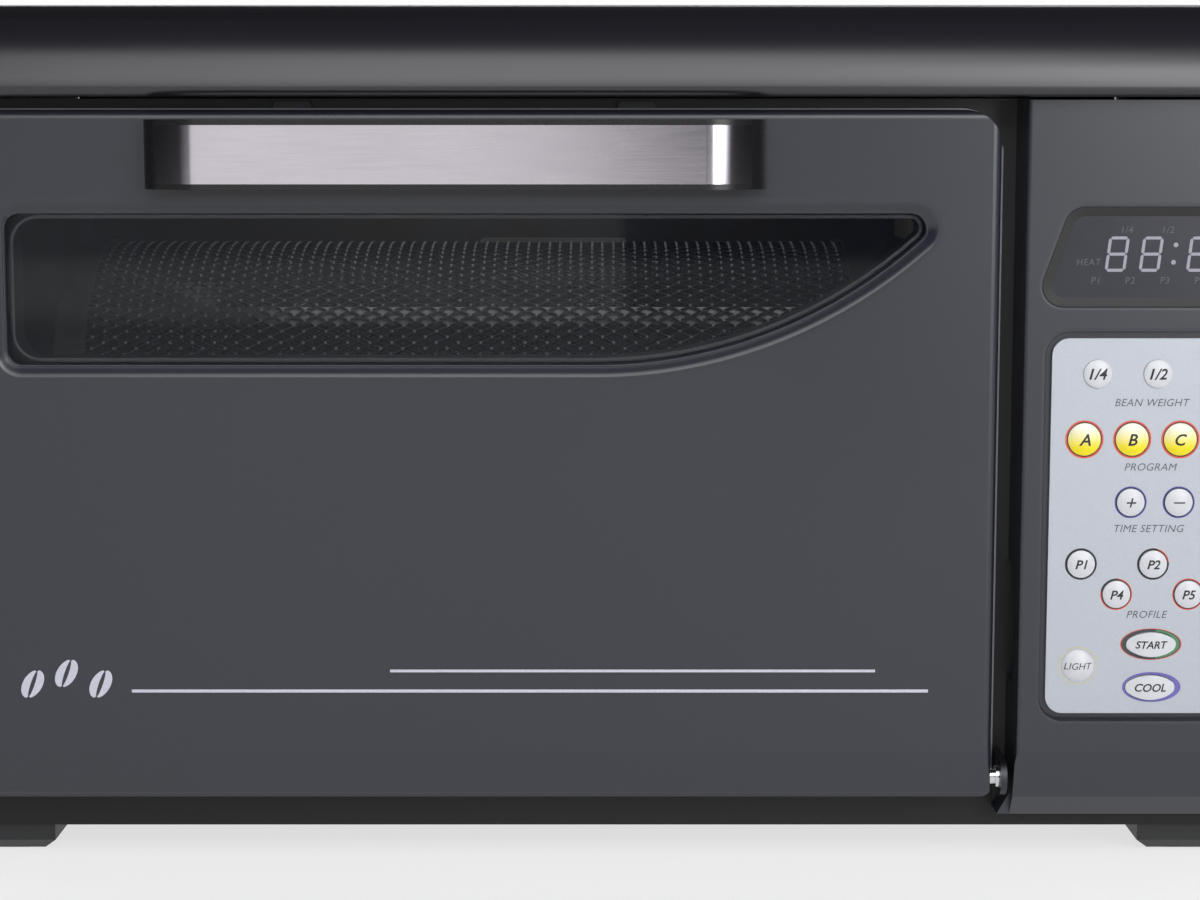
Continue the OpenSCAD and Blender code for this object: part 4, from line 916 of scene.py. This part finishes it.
# The letters start in front of their key and are pressed onto its dome.
PRESS_FROM = 0.5 * mm
BOLD = 0.02
key_front = {}
for key, (text, high, bold) in KEYS.items():
    node = "key_" + key
    low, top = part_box(node)
    x, z = (low.x + top.x) / 2, (low.z + top.z) / 2
    key_front[key] = (x, z)
    dress(node, yellow_cap if key in "abcd" else silver_cap)
    letters = words(text, x, low.y - PRESS_FROM, z, high, BOLD * bold)
    pick(letters)
    bpy.ops.object.transform_apply(location=True, rotation=True, scale=True)
    bpy.ops.object.mode_set(mode="EDIT")
    bpy.ops.mesh.select_all(action="SELECT")
    bpy.ops.mesh.subdivide(number_cuts=3)
    bpy.ops.object.mode_set(mode="OBJECT")
    apply(
        letters,
        "SHRINKWRAP",
        wrap_method="PROJECT",
        use_project_y=True,
        use_project_z=False,
        use_positive_direction=True,
        use_negative_direction=False,
        target=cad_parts[node],
        offset=INK_OUT,
    )
    settle(letters, "letters_" + key, ink, node)

film_y = plate_low.y - LIFT
CAPTION_H = 2.4
caption_x = panel_cx - 1.5 * mm
captions = []
# A caption, the key it stands under, and how far below that key's middle, in mm
for text, key, drop in (
    ("BEAN WEIGHT", "half", 9.2),
    ("PROGRAM", "a", 8.9),
    ("TIME SETTING", "plus", 8.5),
    ("PROFILE", "p4", 6.6),
):
    place = key_front[key][1] - drop * mm
    captions.append(words(text, caption_x, film_y, place, CAPTION_H, spread=1.05))
grey_ink = Mat("grey_ink", base_color=rgb("#55565c"), roughness=0.5)
settle(join(captions), "plate_captions", grey_ink, "cabinet")


def ring(key, inside, outside, start=0, end=360, shift=0.0, squeeze=1.0):
    """A printed ring, or a part of one, round a key; squeeze is height over width"""
    x, z = key_front[key]
    steps = max(2, round((end - start) / 6))
    outer = ellipse((x + shift, z), outside * mm, outside * mm * squeeze, start, end, steps)
    inner = ellipse((x, z), inside * mm, inside * mm * squeeze, start, end, steps)
    return printed(outer, inner, film_y)


# A soft lip of the film closes the gap round each round key. The sizes are in mm, and the box
# of a key is that of the flange behind its dome.
FLANGE = 1.0
SEAL = (0.05, 0.4)
seals = []
for key in KEYS:
    if key not in ("start", "cool"):
        low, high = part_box("key_" + key)
        key_r = (high.x - low.x) / 2 / mm - FLANGE
        seals.append(ring(key, key_r + SEAL[0], key_r + SEAL[1]))
settle(join(seals), "key_seals", film, "cabinet")

# The inner and outer radius of each kind of ring in mm, and the height of an oval over its width
LETTER_RING = (5.3, 6.15)
STEP_RING = (4.5, 5.15)
LIGHT_RING = (5.85, 6.15)
COOL_RING = (8.2, 9.5)
START_INNER = (8.1, 9.2)
START_MIDDLE = (9.2, 9.6)
START_OUTER = (9.6, 9.95)
OVAL = 0.52
# The broken ring's dashes: the angles they start at, and their length in degrees
DASHES = range(0, 360, 9)
DASH = 5
rings = {
    "red": [ring(k, *LETTER_RING) for k in "abcd"]
    + [
        ring("p2", *STEP_RING, 8, 74),
        ring("p3", *STEP_RING, -80, 74),
        ring("p4", *STEP_RING, -190, 84),
        ring("p5", *STEP_RING),
        ring("start", *START_OUTER, squeeze=OVAL),
        ring("off", *LIGHT_RING),
    ],
    "blue": [ring("plus", *STEP_RING), ring("minus", *STEP_RING)],
    "violet": [ring("cool", *COOL_RING, shift=0.5 * mm, squeeze=OVAL)],
    "green": [ring("start", *START_INNER, -80, 80, squeeze=OVAL)],
    "black": [
        ring("p1", *STEP_RING),
        ring("p2", *STEP_RING, 74, 368),
        ring("p3", *STEP_RING, 74, 280),
        ring("p4", *STEP_RING, 84, 170),
        ring("start", *START_MIDDLE, squeeze=OVAL),
        ring("start", *START_INNER, 80, 280, squeeze=OVAL),
    ],
    "yellow": [ring("light", *LIGHT_RING, a, a + DASH) for a in DASHES],
}
ring_colours = {
    "red": "#d8523a",
    "blue": "#4a45a0",
    "violet": "#6459b0",
    "green": "#3b8557",
    "black": "#2a2a2e",
    "yellow": "#d9c832",
}
for colour, made in rings.items():
    print_ink = Mat("ink_" + colour, roughness=0.5)
    tone = rgb(ring_colours[colour])
    faded = tuple(c * 0.8 + 0.06 for c in tone)
    print_ink.set(base_color=print_ink.mix(print_ink.noise(0.7 * mm), tone, faded))
    settle(join(made), "rings_" + colour, print_ink, "cabinet")

# The display: slanting seven-bar digits, a colon, and small marks above and below them
LENS_FACE = lens_low.y - LIFT
DIGIT_W = 5.6 * mm
DIGIT_H = 10.2 * mm
BAR_T = 0.95 * mm
BAR_GAP = 0.12
SLANT = 0.12
# In mm from the middle of the panel and of the digits: the digits, the colon, its two dots
DIGITS_X = (-14.1, -3.3, 11.7, 22.5)
COLON_X = 4.1
COLON_Z = (-2.6, 2.9)
DOT_R = 0.75 * mm
DIGIT_Z = lens_low.z + (lens_high.z - lens_low.z) * 0.53


def segment(x0, z0, x1, z1):
    """One bar of a digit from end to end, pointed at both ends"""
    along = Vector((x1 - x0, z1 - z0)).normalized()
    across = Vector((-along.y, along.x)) * BAR_T / 2
    start, end = Vector((x0, z0)), Vector((x1, z1))
    gap, point = along * BAR_GAP * mm, along * BAR_T / 2
    start, end = start + gap, end - gap
    lower = [start, start + point - across, end - point - across]
    upper = [end, end - point + across, start + point + across]
    return [tuple(corner) for corner in lower + upper]


def digit(x):
    """An eight with its middle at x"""
    w, h = DIGIT_W / 2, DIGIT_H / 2
    bars = [segment(-w, z, w, z) for z in (-h, 0, h)]
    bars += [segment(side, z, side, z + h) for side in (-w, w) for z in (-h, 0)]
    return [[(x + a + SLANT * b, DIGIT_Z + b) for a, b in outline] for outline in bars]


def flat(outline):
    """A flat printed shape on the lens"""
    made = sheet(outline, LENS_FACE)
    if made.data.polygons[0].normal.y > 0:
        made.data.flip_normals()
    return made


lit = []
for shift in DIGITS_X:
    lit += [flat(outline) for outline in digit(panel_cx + shift * mm)]
for up in COLON_Z:
    dot = (panel_cx + (COLON_X + SLANT * up) * mm, DIGIT_Z + up * mm)
    lit.append(flat(ellipse(dot, DOT_R, DOT_R, 0, 345, 23)))
digit_ink = Mat("digit_ink", roughness=0.4)
digit_ink.set(base_color=digit_ink.mix(digit_ink.noise(1 * mm), rgb("#8d8c98"), rgb("#a2a1ad")))
settle(join(lit), "display_digits", digit_ink, "cabinet")

above = DIGIT_Z + DIGIT_H / 2 + 2.6 * mm
below = DIGIT_Z - DIGIT_H / 2 - 3.2 * mm


def mark(text, x, z, high=2.1):
    """A faint word on the lens, x mm right of the panel's middle"""
    return words(text, panel_cx + x * mm, LENS_FACE, z, high, slant=0.1, spread=1.1)


faint = [mark(text, x, above) for text, x in (("1/4", -11), ("1/2", 2), ("1", 14))]
faint += [mark("P" + str(i + 1), i * 11 - 20.8, below) for i in range(5)]
faint.append(mark("HEAT", -23, DIGIT_Z - 2.5 * mm, 2.0))
faint_ink = Mat("faint_ink", roughness=0.4)
faint_ink.set(base_color=faint_ink.mix(faint_ink.noise(1 * mm), rgb("#45454f"), rgb("#53535e")))
settle(join(faint), "display_marks", faint_ink, "cabinet")

bpy.ops.object.select_all(action="DESELECT")
